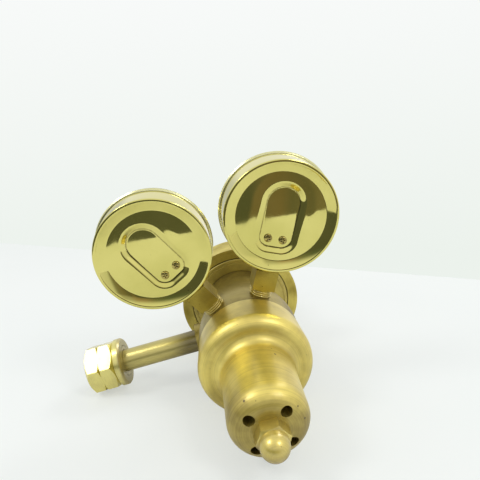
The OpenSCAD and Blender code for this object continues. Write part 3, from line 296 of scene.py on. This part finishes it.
def plainFinish(name, look):
    material, tree, shader = newMaterial(name)
    where = placedCoordinates(tree, bodyPlace)
    noise = addNode(tree, "ShaderNodeTexNoise", None, {
        "Vector": where, "Scale": 1 / (look["grainSize"] * mm), "Detail": 4.0, "Roughness": 0.6})
    colour = addNode(tree, "ShaderNodeMix", {"data_type": "RGBA"}, {
        "Factor": noise.outputs["Fac"], 6: linear(look["light"]), 7: linear(look["dark"])})
    rough = addNode(tree, "ShaderNodeMapRange", None, {
        "Value": noise.outputs["Fac"],
        "To Min": look["rough"] - roughDrop, "To Max": look["rough"] + roughRise})
    bump = addNode(tree, "ShaderNodeBump", None, {
        "Strength": 0.3, "Distance": look["grainDepth"] * mm, "Height": noise.outputs["Fac"]})
    tree.links.new(colour.outputs[2], shader.inputs["Base Color"])
    tree.links.new(rough.outputs[0], shader.inputs["Roughness"])
    tree.links.new(bump.outputs["Normal"], shader.inputs["Normal"])
    shader.inputs["Metallic"].default_value = look["metal"]
    return material


# Turned steel, bright with a faint oil film
turnedSteel = plainFinish("turnedSteel", {
    "light": "#b9babb", "dark": "#9a9b9d", "grainSize": 0.8, "grainDepth": 0.02, "rough": 0.28, "metal": 1.0})
# Moulded neoprene: near black, and matt because its skin is slightly pebbled
mouldedRubber = plainFinish("mouldedNeoprene", {
    "light": "#2a2a29", "dark": "#1a1a1a", "grainSize": 0.6, "grainDepth": 0.05, "rough": 0.7, "metal": 0.0})
# Bronze powder pressed and sintered: a dark, granular surface
sinteredBronze = plainFinish("sinteredBronze", {
    "light": "#a07f4a", "dark": "#5f4823", "grainSize": 0.35, "grainDepth": 0.2, "rough": 0.6, "metal": 1.0})
# Stoved enamel on sheet: smooth white with a slight orange peel
stovedEnamel = plainFinish("stovedEnamel", {
    "light": "#f3f2ec", "dark": "#edece5", "grainSize": 1.5, "grainDepth": 0.01, "rough": 0.35, "metal": 0.0})
# Printing ink and painted pointer: black, a little glossy
blackPaint = plainFinish("blackPaint", {
    "light": "#1c1c1c", "dark": "#121212", "grainSize": 1.0, "grainDepth": 0.01, "rough": 0.4, "metal": 0.0})


# Float glass, wiped clean: it shows only as a faint reflection
glassLook = {"tint": "#f7fbfa", "ior": 1.52, "smearSize": 9, "smearRough": 0.03}


def sheetGlass(look):
    material, tree, shader = newMaterial("floatGlass")
    where = placedCoordinates(tree, bodyPlace)
    smear = addNode(tree, "ShaderNodeTexNoise", None, {
        "Vector": where, "Scale": 1 / (look["smearSize"] * mm), "Detail": 3.0})
    rough = addNode(tree, "ShaderNodeMapRange", None, {
        "Value": smear.outputs["Fac"], "To Min": 0.0, "To Max": look["smearRough"]})
    tree.links.new(rough.outputs[0], shader.inputs["Roughness"])
    shader.inputs["Base Color"].default_value = linear(look["tint"])
    shader.inputs["Transmission Weight"].default_value = 1.0
    shader.inputs["IOR"].default_value = look["ior"]
    return material


lensGlass = sheetGlass(glassLook)


def finishNode(name, material):
    node = nodes[name]
    node.data.materials.clear()
    node.data.materials.append(material)
    for polygon in node.data.polygons:
        polygon.material_index = 0


finishes = {
    turnedBodyBrass: [
        "regulator_body", "rear_diaphragm_plate", "front_diaphragm_plate", "first_stage_nozzle",
        "second_stage_nozzle"],
    spunSatinBrass: ["rear_bonnet", "front_bonnet"],
    acornBrass: ["rear_cap_nut"],
    oxidisedBrass: ["front_clamp_ring"],
    drawnTubeBrass: ["inlet_nipple", "outlet_fitting"],
    hexNutBrass: ["inlet_nut", "nut_washer"],
    turnedSteel: [
        "rear_preset_screw", "rear_spring_button", "rear_range_spring", "rear_slip_ring", "first_stage_stem",
        "first_stage_valve_spring", "adjusting_screw", "tee_bar", "front_spring_button", "front_range_spring",
        "front_slip_ring", "second_stage_stem", "second_stage_valve_spring"],
    mouldedRubber: ["rear_diaphragm", "front_diaphragm"],
    sinteredBronze: ["inlet_filter"],
}
for material, names in finishes.items():
    for name in names:
        finishNode(name, material)
for side in gaugePlace:
    finishNode(side + "_lens", lensGlass)
    finishNode(side + "_dial", stovedEnamel)
    finishNode(side + "_pointer", blackPaint)
    finishNode(side + "_socket", socketBrass)
    for part in ("bourdon_tube", "link", "movement_frame", "sector_gear", "hairspring"):
        finishNode(side + "_" + part, movementBrass[side])
print("nodes finished")


# Pieces made with Geometry Nodes
socketKinds = {float: "NodeSocketFloat", int: "NodeSocketInt", bool: "NodeSocketBool"}


def newTree(name, inputs):
    tree = bpy.data.node_groups.new(name, "GeometryNodeTree")
    tree.interface.new_socket(name="Geometry", in_out="OUTPUT", socket_type="NodeSocketGeometry")
    for key, kind in inputs.items():
        tree.interface.new_socket(name=key, in_out="INPUT", socket_type=socketKinds[kind])
    tree.interface.new_socket(name="Finish", in_out="INPUT", socket_type="NodeSocketMaterial")
    return tree, addNode(tree, "NodeGroupInput")


def closeTree(tree, given, geometry):
    plain = addNode(tree, "GeometryNodeRealizeInstances", None, {0: geometry})
    finished = addNode(tree, "GeometryNodeSetMaterial", None, {
        0: plain.outputs[0], "Material": given.outputs["Finish"]})
    addNode(tree, "NodeGroupOutput", None, {0: finished.outputs[0]})


def grow(name, tree, sizes, material, place, body):
    maker = bpy.data.objects.new(name + "Maker", bpy.data.meshes.new(name + "Maker"))
    scene.collection.objects.link(maker)
    modifier = maker.modifiers.new("maker", "NODES")
    modifier.node_group = tree
    for item in tree.interface.items_tree:
        if item.in_out == "INPUT":
            modifier[item.identifier] = material if item.name == "Finish" else sizes[item.name]
    depsgraph = bpy.context.evaluated_depsgraph_get()
    mesh = bpy.data.meshes.new_from_object(maker.evaluated_get(depsgraph), depsgraph=depsgraph)
    maker.modifiers.remove(modifier)
    bpy.data.objects.remove(maker)
    return settle(name, mesh, material, place, body)


def settle(name, mesh, material, place, body):
    mesh.name = name
    mesh.transform(place)
    if not mesh.materials:
        mesh.materials.append(material)
    piece = bpy.data.objects.new(name, mesh)
    scene.collection.objects.link(piece)
    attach(piece, body)
    return piece


# A knurled band: ridges pressed into the bezel's edge by a straight knurling wheel
knurlTree, given = newTree("knurledBand", {"Ridges": int, "Radius": float, "Height": float, "Width": float})
ring = addNode(knurlTree, "GeometryNodeCurvePrimitiveCircle", {"mode": "RADIUS"}, {
    "Resolution": given.outputs["Ridges"], "Radius": given.outputs["Radius"]})
size = addNode(knurlTree, "ShaderNodeCombineXYZ", None, {
    "X": given.outputs["Width"], "Y": given.outputs["Width"], "Z": given.outputs["Height"]})
ridge = addNode(knurlTree, "GeometryNodeMeshCube", None, {"Size": size.outputs[0]})
edgeOn = addNode(knurlTree, "GeometryNodeTransform", None, {  # one edge of each bar points outwards
    "Geometry": ridge.outputs["Mesh"], "Rotation": Euler((0, 0, math.radians(45)))})
points = addNode(knurlTree, "GeometryNodeCurveToPoints", {"mode": "EVALUATED"}, {0: ring.outputs["Curve"]})
ridges = addNode(knurlTree, "GeometryNodeInstanceOnPoints", None, {
    "Points": points.outputs["Points"], "Instance": edgeOn.outputs[0],
    "Rotation": points.outputs["Rotation"]})
closeTree(knurlTree, given, ridges.outputs[0])

# A screw thread: one ridge wound on the plain cylinder that the solid has
threadTree, given = newTree("screwThread", {
    "Turns": float, "Radius": float, "Length": float, "Depth": float, "Left": bool})
wound = addNode(threadTree, "GeometryNodeCurveSpiral", None, {
    "Resolution": 32, "Rotations": given.outputs["Turns"], "Start Radius": given.outputs["Radius"],
    "End Radius": given.outputs["Radius"], "Height": given.outputs["Length"],
    "Reverse": given.outputs["Left"]})
profile = addNode(threadTree, "GeometryNodeCurvePrimitiveCircle", {"mode": "RADIUS"}, {
    "Resolution": 4, "Radius": given.outputs["Depth"]})
ridge = addNode(threadTree, "GeometryNodeCurveToMesh", None, {
    0: wound.outputs["Curve"], "Profile Curve": profile.outputs["Curve"], "Fill Caps": True})
closeTree(threadTree, given, ridge.outputs[0])

# Dial strokes: printed bars round an open arc
dialStart, dialSweep = -45, 270  # degrees
inkHeight = 0.03 * mm  # how far the ink stands on each side of the dial's face
strokeTree, given = newTree("dialStrokes", {"Strokes": int, "Radius": float, "Length": float, "Width": float})
arc = addNode(strokeTree, "GeometryNodeCurveArc", {"mode": "RADIUS"}, {
    "Resolution": given.outputs["Strokes"], "Radius": given.outputs["Radius"],
    "Start Angle": math.radians(dialStart), "Sweep Angle": math.radians(dialSweep)})
size = addNode(strokeTree, "ShaderNodeCombineXYZ", None, {
    "X": given.outputs["Length"], "Y": given.outputs["Width"], "Z": inkHeight * 2})
bar = addNode(strokeTree, "GeometryNodeMeshCube", None, {"Size": size.outputs[0]})
points = addNode(strokeTree, "GeometryNodeCurveToPoints", {"mode": "EVALUATED"}, {0: arc.outputs["Curve"]})
spot = addNode(strokeTree, "GeometryNodeInputPosition")
apart = addNode(strokeTree, "ShaderNodeSeparateXYZ", None, {0: spot.outputs[0]})
bearing = addNode(strokeTree, "ShaderNodeMath", {"operation": "ARCTAN2"}, {
    0: apart.outputs["Y"], 1: apart.outputs["X"]})
turn = addNode(strokeTree, "ShaderNodeCombineXYZ", None, {"Z": bearing.outputs[0]})
bars = addNode(strokeTree, "GeometryNodeInstanceOnPoints", None, {
    "Points": points.outputs["Points"], "Instance": bar.outputs["Mesh"], "Rotation": turn.outputs[0]})
closeTree(strokeTree, given, bars.outputs[0])


def at(place, x=0.0, y=0.0, z=0.0):
    return place @ Matrix.Translation((x * mm, y * mm, z * mm))


def capsuleDistance(point, start, end, startRadius, endRadius):
    # How far a point lies outside a bar with round ends of two sizes
    way = end - start
    lengthSquared = way.dot(way)
    offset = point - start
    along = offset.dot(way) / lengthSquared
    across = abs(offset.x * way.y - offset.y * way.x) / lengthSquared
    drop = startRadius - endRadius
    slope = math.sqrt(lengthSquared - drop * drop)
    turn = slope * along - drop * across
    if turn < 0:
        return math.sqrt(lengthSquared * (along * along + across * across)) - startRadius
    if turn > slope:
        return math.sqrt(lengthSquared * (across * across + (1 - along) ** 2)) - endRadius
    return slope * across + drop * along - startRadius


def smoothStep(value):
    value = min(1.0, max(0.0, value))
    return value * value * (3 - 2 * value)


sharpAngle = math.radians(38)  # a steeper crease than this stays sharp


def turnedMesh(name, profile, segments, sink=None, creaseShade=None):
    # A profile of radius and level turned about Y, in millimetres; sink lowers the surface at x, z, and the
    # last argument marks painted shade at each point
    shape = bmesh.new()
    shadeMark = shape.verts.layers.float.new(creaseShadeMark)
    rings = []
    for radius, level in profile:
        count = segments if radius > 0 else 1
        ring = []
        for i in range(count):
            angle = 2 * math.pi * i / segments
            x, z = radius * math.cos(angle), radius * math.sin(angle)
            depth = sink(x, z) if sink else 0
            corner = shape.verts.new((x * mm, (level + depth) * mm, z * mm))
            corner[shadeMark] = creaseShade(radius, level, depth) if creaseShade else 0
            ring.append(corner)
        rings.append(ring)
    pairs = list(zip(rings, rings[1:]))
    if len(rings[0]) > 1:
        pairs.append((rings[-1], rings[0]))
    for inner, outer in pairs:
        for i in range(segments):
            j = (i + 1) % segments
            corners = [ring[k % len(ring)] for ring, k in ((inner, i), (inner, j), (outer, j), (outer, i))]
            shape.faces.new(list(dict.fromkeys(corners)))  # a point on the axis counts once
    bmesh.ops.recalc_face_normals(shape, faces=shape.faces)
    mesh = bpy.data.meshes.new(name)
    shape.to_mesh(mesh)
    shape.free()
    mesh.shade_smooth()
    mesh.set_sharp_from_angle(angle=sharpAngle)
    return mesh


def arcPoints(centre, radius, start, end, count):
    angles = [math.radians(start + (end - start) * i / count) for i in range(count + 1)]
    return [(centre[0] + radius * math.cos(a), centre[1] + radius * math.sin(a)) for a in angles]


# The case's back: a sunk disc with the screw recess pressed into it, its edges soft as deep drawing leaves
# them. Profiles are pairs of radius and level in mm, from the axis out over the rim and back along the inside
caseLook = {
    "discRadius": 27.2, "discLevel": 2.0, "sheet": 0.9, "recessDepth": 1.6, "wallFrom": 0.9, "wallWidth": 4.1,
    "shoulderDepth": 0.1, "shoulderWidth": 7.0, "ringStep": 0.45, "innerRings": 40, "segments": 240,
    "corners": [((0.0, 7.9), 12.6), ((-3.6, -13.0), 9.0), ((3.6, -13.0), 9.0)],
    "rim": [(27.5, 1.92), (28.6, 1.5), (31.7, 0.42), (32.0, 0.24), (32.3, 0.1), (32.7, 0.02)],
    "beadAt": (33.5, 0.7), "beadRadius": 0.7,
    "wall": [
        (34.22, 3.0), (34.6, 16.5), (33.6, 16.5), (33.6, 21.0), (32.4, 21.0), (32.4, 3.3), (31.8, 2.3),
        (27.3, 2.9)],
    "creaseShade": 0.8, "creaseShadeFrom": 0.92, "creaseShadeTo": 0.99,  # painted shade in the recess's crease, by share of its depth
}


def recessSink(x, z):
    point = Vector((x, z))
    corners = caseLook["corners"]
    away = min(
        capsuleDistance(point, Vector(corners[i][0]), Vector(corners[j][0]), corners[i][1], corners[j][1])
        for i, j in ((0, 1), (0, 2), (1, 2)))
    shoulder = caseLook["shoulderDepth"] * smoothStep(1 - away / caseLook["shoulderWidth"])
    fall = smoothStep((caseLook["wallFrom"] - away) / caseLook["wallWidth"])
    return shoulder + caseLook["recessDepth"] * fall


def caseProfile():
    radius, level = caseLook["discRadius"], caseLook["discLevel"]
    rings, innerRings = round(radius / caseLook["ringStep"]), caseLook["innerRings"]
    disc = [(radius * i / rings, level) for i in range(rings + 1)]
    bead = arcPoints(caseLook["beadAt"], caseLook["beadRadius"], -90, 0, 8)
    inner = [(radius * (1 - i / innerRings), level + caseLook["sheet"]) for i in range(1, innerRings + 1)]
    return disc + caseLook["rim"] + bead + caseLook["wall"] + inner


# Painted shade: a dark line in the recess's crease, by share of its depth
def caseGrime(radius, level, depth):
    onDisc = radius < caseLook["discRadius"] and level <= caseLook["discLevel"]
    share = depth / (caseLook["recessDepth"] + caseLook["shoulderDepth"])
    return caseLook["creaseShade"] if onDisc and caseLook["creaseShadeFrom"] < share < caseLook["creaseShadeTo"] else 0.0


# Each back screw: a low domed head with a cross recess, and a plain shank
screwLook = {
    "at": [(-4.5, -14.2), (4.5, -14.2)], "turns": [25, 65], "radius": 2.45, "top": 2.35, "foot": 3.6,
    "domeShare": 0.8, "domeSink": 0.22, "domeRings": 22, "shankRadius": 1.4, "shankEnd": 7.5, "segments": 72,
    "crossArm": 1.55, "crossHalf": 0.34, "crossDepth": 0.75, "sideEase": 0.12, "endEase": 0.3,
}


def crossSink(x, z):
    look = screwLook
    narrow, wide = sorted((abs(x), abs(z)))
    side = smoothStep((look["crossHalf"] - narrow) / look["sideEase"])
    return look["crossDepth"] * side * smoothStep((look["crossArm"] - wide) / look["endEase"])


def screwProfile():
    look = screwLook
    radius, top, foot, rings = look["radius"], look["top"], look["foot"], look["domeRings"]
    flat = radius * look["domeShare"]
    dome = [(flat * i / rings, top + look["domeSink"] * (i / rings) ** 2) for i in range(rings + 1)]
    edge = arcPoints((flat, top + look["domeSink"] + radius - flat), radius - flat, -75, 0, 5)
    shank = [(look["shankRadius"], foot), (look["shankRadius"], look["shankEnd"]), (0, look["shankEnd"])]
    return dome + edge + [(radius, foot)] + shank


# The bezel's ring, with a raised band that carries the knurls
bezelProfile = [
    (33.65, 16.6), (34.9, 16.6), (35.2, 16.75), (35.3, 17.0), (35.3, 19.95), (35.0, 20.3), (34.95, 20.6),
    (34.95, 23.2), (34.8, 23.8), (34.4, 24.3), (33.8, 24.6), (31.0, 24.6), (30.6, 24.4), (30.6, 23.1),
    (33.65, 23.1)]
for side, place in gaugePlace.items():
    mesh = turnedMesh(side + "DrawnCase", caseProfile(), caseLook["segments"], recessSink, caseGrime)
    piece = settle(side + "DrawnCase", mesh, mirrorBrass[side], place, "regulator")
    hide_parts(side + "_case")
    mesh = turnedMesh(side + "BezelRing", bezelProfile, segments=192)
    piece = settle(side + "BezelRing", mesh, bezelBrass[side], place, "regulator")
    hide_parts(side + "_bezel")
    for number, ((x, z), degrees) in enumerate(zip(screwLook["at"], screwLook["turns"])):
        name = side + "BackScrew%d" % number
        mesh = turnedMesh(name, screwProfile(), screwLook["segments"], crossSink)
        screwPlace = at(place, x=x, z=z) @ Matrix.Rotation(math.radians(degrees), 4, "Y")
        piece = settle(name, mesh, screwBrass, screwPlace, "regulator")
        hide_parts(side + "_back_screws")
print("cases pressed")

# The body's flange face was skimmed on a lathe: a ring proud of the waist, with one deeper groove
flangeProfile = [
    (26.2, 35.9), (26.2, 35.35), (26.5, 35.1), (32.3, 35.1), (32.5, 35.45), (33.0, 35.45), (33.2, 35.1),
    (35.15, 35.1), (35.35, 35.3), (35.4, 35.9)]
mesh = turnedMesh("flangeFace", flangeProfile, segments=160)
settle("flangeFace", mesh, paintedLightFlangeBrass, bodyPlace, "regulator")

# Each dial: a range is its first figure, last figure and number of parts, and a stroke is length and width
gaugeLook = {
    "dialFront": 15.52, "strokeEnd": 28.8, "longStroke": (4.2, 0.6), "shortStroke": (2.4, 0.3),
    "shortPerPart": 5, "numberRadius": 21.3, "numberHeight": 4.4,
    "rangeOf": {"left": (0, 400, 8), "right": (0, 30, 6)},
}
knurl = {"Ridges": 190, "Radius": 35.28 * mm, "Height": 3.0 * mm, "Width": 0.7 * mm}
knurlLevel = 18.45
# On the dial's face X runs to the left, so that its figures read from the front
faceTurn = Matrix(((-1, 0, 0, 0), (0, 0, 1, 0), (0, 1, 0, 0), (0, 0, 0, 1)))


def numberMesh(name, figure):
    text = bpy.data.curves.new(name, "FONT")
    text.body = str(figure)
    text.size = gaugeLook["numberHeight"] * mm
    text.align_x, text.align_y = "CENTER", "CENTER"
    text.extrude = inkHeight
    holder = bpy.data.objects.new(name + "Text", text)
    scene.collection.objects.link(holder)
    depsgraph = bpy.context.evaluated_depsgraph_get()
    mesh = bpy.data.meshes.new_from_object(holder.evaluated_get(depsgraph), depsgraph=depsgraph)
    bpy.data.objects.remove(holder)
    return mesh


for side, place in gaugePlace.items():
    knurlPlace = at(place, y=knurlLevel) @ alongY
    grow(side + "BezelKnurl", knurlTree, knurl, bezelBrass[side], knurlPlace, "regulator")
    first, last, parts = gaugeLook["rangeOf"][side]
    dialFace = at(place, y=gaugeLook["dialFront"])
    strokePlace = dialFace @ Matrix.Rotation(math.radians(90), 4, "X")
    shortCount = parts * gaugeLook["shortPerPart"] + 1
    for label, count, (length, width) in (
            ("LongStrokes", parts + 1, gaugeLook["longStroke"]),
            ("ShortStrokes", shortCount, gaugeLook["shortStroke"])):
        sizes = {
            "Strokes": count, "Radius": (gaugeLook["strokeEnd"] - length / 2) * mm,
            "Length": length * mm, "Width": width * mm}
        grow(side + label, strokeTree, sizes, blackPaint, strokePlace, "regulator")
    for i in range(parts + 1):
        angle = math.radians(dialStart + dialSweep * i / parts)
        reach = gaugeLook["numberRadius"]
        middle = at(dialFace, x=reach * math.cos(angle), z=reach * math.sin(angle))
        name = side + "Number%d" % i
        mesh = numberMesh(name, round(first + (last - first) * i / parts))
        settle(name, mesh, blackPaint, middle @ faceTurn, "regulator")
print("gauges dressed")

# Each thread winds on from its place; its sizes are in mm
threadPieces = {
    "inletThread": {
        "place": at(inletPlace, y=100.6) @ alongY, "body": "inlet_nut", "slot": "nut_brass",
        "finish": hexNutBrass, "Turns": 3.6, "Radius": 9.55, "Length": 7.4, "Depth": 0.5, "Left": True},
    "screwThread": {
        "place": at(bodyPlace, y=108.6) @ alongY, "body": "adjusting_screw", "slot": "steel",
        "finish": turnedSteel, "Turns": 11.0, "Radius": 6.35, "Length": 16.5, "Depth": 0.4, "Left": False},
}
for side in gaugePlace:
    threadPieces[side + "PortThread"] = {
        "place": at(gaugePlace[side], y=9.5, z=-52.6), "body": "regulator", "slot": "stem_brass",
        "finish": acornBrass, "Turns": 3.2, "Radius": 6.5, "Length": 4.3, "Depth": 0.62, "Left": False}
for name, look in threadPieces.items():
    sizes = {key: look[key] * mm for key in ("Radius", "Length", "Depth")}
    sizes.update(Turns=look["Turns"], Left=look["Left"])
    grow(name, threadTree, sizes, look["finish"], look["place"], look["body"])
print("threads cut")


# Table, light and camera
def tableFinish(name, look):
    material, tree, shader = newMaterial(name)
    coordinates = addNode(tree, "ShaderNodeTexCoord")
    noise = addNode(tree, "ShaderNodeTexNoise", None, {
        "Vector": coordinates.outputs["Object"], "Scale": look["cloudScale"], "Detail": 3.0})
    tint = addNode(tree, "ShaderNodeMix", {"data_type": "RGBA"}, {
        "Factor": noise.outputs["Fac"], 6: linear(look["colour"]), 7: linear(look["otherColour"])})
    # The camera sees part of the table's white as its own, which keeps the shadow on it light
    rays = addNode(tree, "ShaderNodeLightPath")
    glow = addNode(tree, "ShaderNodeMath", {"operation": "MULTIPLY"}, {
        0: rays.outputs["Is Camera Ray"], 1: look["share"]})
    left = addNode(tree, "ShaderNodeMath", {"operation": "SUBTRACT"}, {0: 1.0, 1: glow.outputs[0]})
    lit = addNode(tree, "ShaderNodeVectorMath", {"operation": "SCALE"}, {
        0: tint.outputs[2], "Scale": left.outputs[0]})
    tree.links.new(lit.outputs[0], shader.inputs["Base Color"])
    tree.links.new(tint.outputs[2], shader.inputs["Emission Color"])
    tree.links.new(glow.outputs[0], shader.inputs["Emission Strength"])
    shader.inputs["Roughness"].default_value = look["rough"]
    shader.inputs["Specular IOR Level"].default_value = look["sheen"]
    return material


# Pale matt laminate on a board: two points on each of its long edges, and how far each edge runs past them
table = {
    "far": [(-0.326, 0.487), (0.298, 0.150)], "near": [(-0.10, -0.264), (0.166, -0.333)], "reach": 1.1,
    "colour": "#f3f6f4", "otherColour": "#eef2f0", "cloudScale": 6.0, "rough": 0.9, "sheen": 0.2,
    "share": 0.54,
}


def edgePoints(ends, reach):
    start, end = (Vector((x, y, 0)) for x, y in ends)
    way = (end - start).normalized()
    return [start - way * reach, end + way * reach]


farLeft, farRight = edgePoints(table["far"], table["reach"])
nearLeft, nearRight = edgePoints(table["near"], table["reach"])
mesh = bpy.data.meshes.new("tableTop")
mesh.from_pydata([farLeft, farRight, nearRight, nearLeft], [], [(3, 2, 1, 0)])
mesh.materials.append(tableFinish("paleLaminate", table))
tableTop = bpy.data.objects.new("tableTop", mesh)
scene.collection.objects.link(tableTop)

room = bpy.data.worlds.new("studioRoom")
scene.world = room
room.use_nodes = True
tree = room.node_tree
tree.nodes.clear()
rays = addNode(tree, "ShaderNodeLightPath")
coordinates = addNode(tree, "ShaderNodeTexCoord")
way = addNode(tree, "ShaderNodeSeparateXYZ", None, {0: coordinates.outputs["Generated"]})
# Polished metal shows the room: dim behind the camera, brown furniture beside it, a bright wall on the right
# and a pale ceiling. Each band gives bearings in degrees, from straight behind the camera towards the right,
# and the bands blend between the heights given (0 is level, 1 straight up)
roomLook = {
    "low": [
        (-180, "#dfe2de"), (-150, "#c2c6bf"), (-95, "#ccd0ca"), (-62, "#85887d"), (-45, "#5d6056"),
        (0, "#64675a"), (7, "#5d6154"), (9.6, "#7d7460"), (10.8, "#8c7a60"), (12, "#6b6a59"), (18, "#8a8169"),
        (23, "#918f7e"), (27, "#dfe2de"), (60, "#ffffff")],
    "high": [
        (-180, "#e6e9e6"), (-150, "#c9ccc6"), (-95, "#d4d7d2"), (-62, "#8f9288"), (-45, "#62655a"),
        (-14, "#667062"), (-5, "#83866f"), (3, "#a89682"), (9, "#b09d8a"), (15, "#b9b9af"), (21, "#c4c4bc"),
        (25, "#ffffff")],
    "lowToHigh": (0.04, 0.12), "highToCeiling": (0.12, 0.28), "ceiling": "#fdfffe",
    "backdropFoot": "#ecf2ec", "backdropTop": "#f8faf9", "backdropRise": (-0.25, 0.25),
    "soft": "#fbfcfc", "softStrength": 0.7,
}
backward = addNode(tree, "ShaderNodeMath", {"operation": "MULTIPLY"}, {0: way.outputs["Y"], 1: -1.0})
bearing = addNode(tree, "ShaderNodeMath", {"operation": "ARCTAN2"}, {
    0: way.outputs["X"], 1: backward.outputs[0]})
turn = addNode(tree, "ShaderNodeMapRange", None, {
    "Value": bearing.outputs[0], "From Min": -math.pi, "From Max": math.pi})


def bearingBands(stops):
    bands = addNode(tree, "ShaderNodeValToRGB", None, {0: turn.outputs[0]})
    ramp = bands.color_ramp
    while len(ramp.elements) < len(stops):
        ramp.elements.new(0.5)
    for element, (degrees, colour) in zip(ramp.elements, stops):
        element.position, element.color = degrees / 360 + 0.5, linear(colour)
    return bands.outputs[0]


def risen(heights):
    step = addNode(tree, "ShaderNodeMapRange", {"interpolation_type": "SMOOTHSTEP"}, {
        "Value": way.outputs["Z"], "From Min": heights[0], "From Max": heights[1]})
    return step.outputs[0]


walls = addNode(tree, "ShaderNodeMix", {"data_type": "RGBA"}, {
    "Factor": risen(roomLook["lowToHigh"]), 6: bearingBands(roomLook["low"]),
    7: bearingBands(roomLook["high"])})
glossColour = addNode(tree, "ShaderNodeMix", {"data_type": "RGBA"}, {
    "Factor": risen(roomLook["highToCeiling"]), 6: walls.outputs[2], 7: linear(roomLook["ceiling"])})
gloss = addNode(tree, "ShaderNodeBackground", None, {"Color": glossColour.outputs[2], "Strength": 1.0})
# The backdrop the camera sees is painted darker towards its foot: painted shade on the wall
foot, top = roomLook["backdropRise"]
paleRise = addNode(tree, "ShaderNodeMapRange", None, {
    "Value": way.outputs["Z"], "From Min": foot, "From Max": top})
paleColour = addNode(tree, "ShaderNodeMix", {"data_type": "RGBA"}, {
    "Factor": paleRise.outputs[0], 6: linear(roomLook["backdropFoot"]), 7: linear(roomLook["backdropTop"])})
pale = addNode(tree, "ShaderNodeBackground", None, {"Color": paleColour.outputs[2], "Strength": 1.0})
soft = addNode(tree, "ShaderNodeBackground", None, {
    "Color": linear(roomLook["soft"]), "Strength": roomLook["softStrength"]})
seen = addNode(tree, "ShaderNodeMath", {"operation": "MAXIMUM"}, {
    0: rays.outputs["Is Camera Ray"], 1: rays.outputs["Is Transmission Ray"]})
withGloss = addNode(tree, "ShaderNodeMixShader", None, {
    0: rays.outputs["Is Glossy Ray"], 1: soft.outputs[0], 2: gloss.outputs[0]})
allRays = addNode(tree, "ShaderNodeMixShader", None, {
    0: seen.outputs[0], 1: withGloss.outputs[0], 2: pale.outputs[0]})
addNode(tree, "ShaderNodeOutputWorld", None, {0: allRays.outputs[0]})

# Weak soft lamps overhead: a window on the left, and two on the right, one of them farther back
lamps = {
    "windowLight": {"at": (-0.80, -0.26, 0.98), "size": 0.36, "watts": 3.7},
    "roomLight": {"at": (0.57, -0.68, 0.93), "size": 0.3, "watts": 2.6},
    "rearLight": {"at": (0.64, 0.62, 0.93), "size": 0.36, "watts": 2.3},
}
lampTarget = Vector((0, 0, 0.05))
for name, look in lamps.items():
    lamp = bpy.data.lights.new(name, "AREA")
    lamp.size, lamp.energy = look["size"], look["watts"]
    holder = bpy.data.objects.new(name, lamp)
    holder.location = look["at"]
    holder.rotation_mode = "QUATERNION"
    holder.rotation_quaternion = (lampTarget - holder.location).to_track_quat("-Z", "Y")
    scene.collection.objects.link(holder)

# The camera looks down on the backs of the gauges, tipped a little to one side
view = {
    "at": Vector((-0.003048, -0.307242, 0.171674)), "right": Vector((0.99388, -0.10292, -0.04003)),
    "down": Vector((-0.06286, -0.22923, -0.97134)), "ahead": Vector((0.09079, 0.96792, -0.2343)),
    "lens": 35.404, "sensor": 36.0, "clip": (0.01, 50),
}
camera = bpy.data.cameras.new("camera")
camera.lens, camera.sensor_width, camera.sensor_fit = view["lens"], view["sensor"], "HORIZONTAL"
camera.clip_start, camera.clip_end = view["clip"]
holder = bpy.data.objects.new("camera", camera)
holder.matrix_world = placeFrom(view["right"], -view["down"], -view["ahead"], view["at"])
scene.collection.objects.link(holder)
scene.camera = holder
scene.view_settings.view_transform = "Standard"
print("stage set")
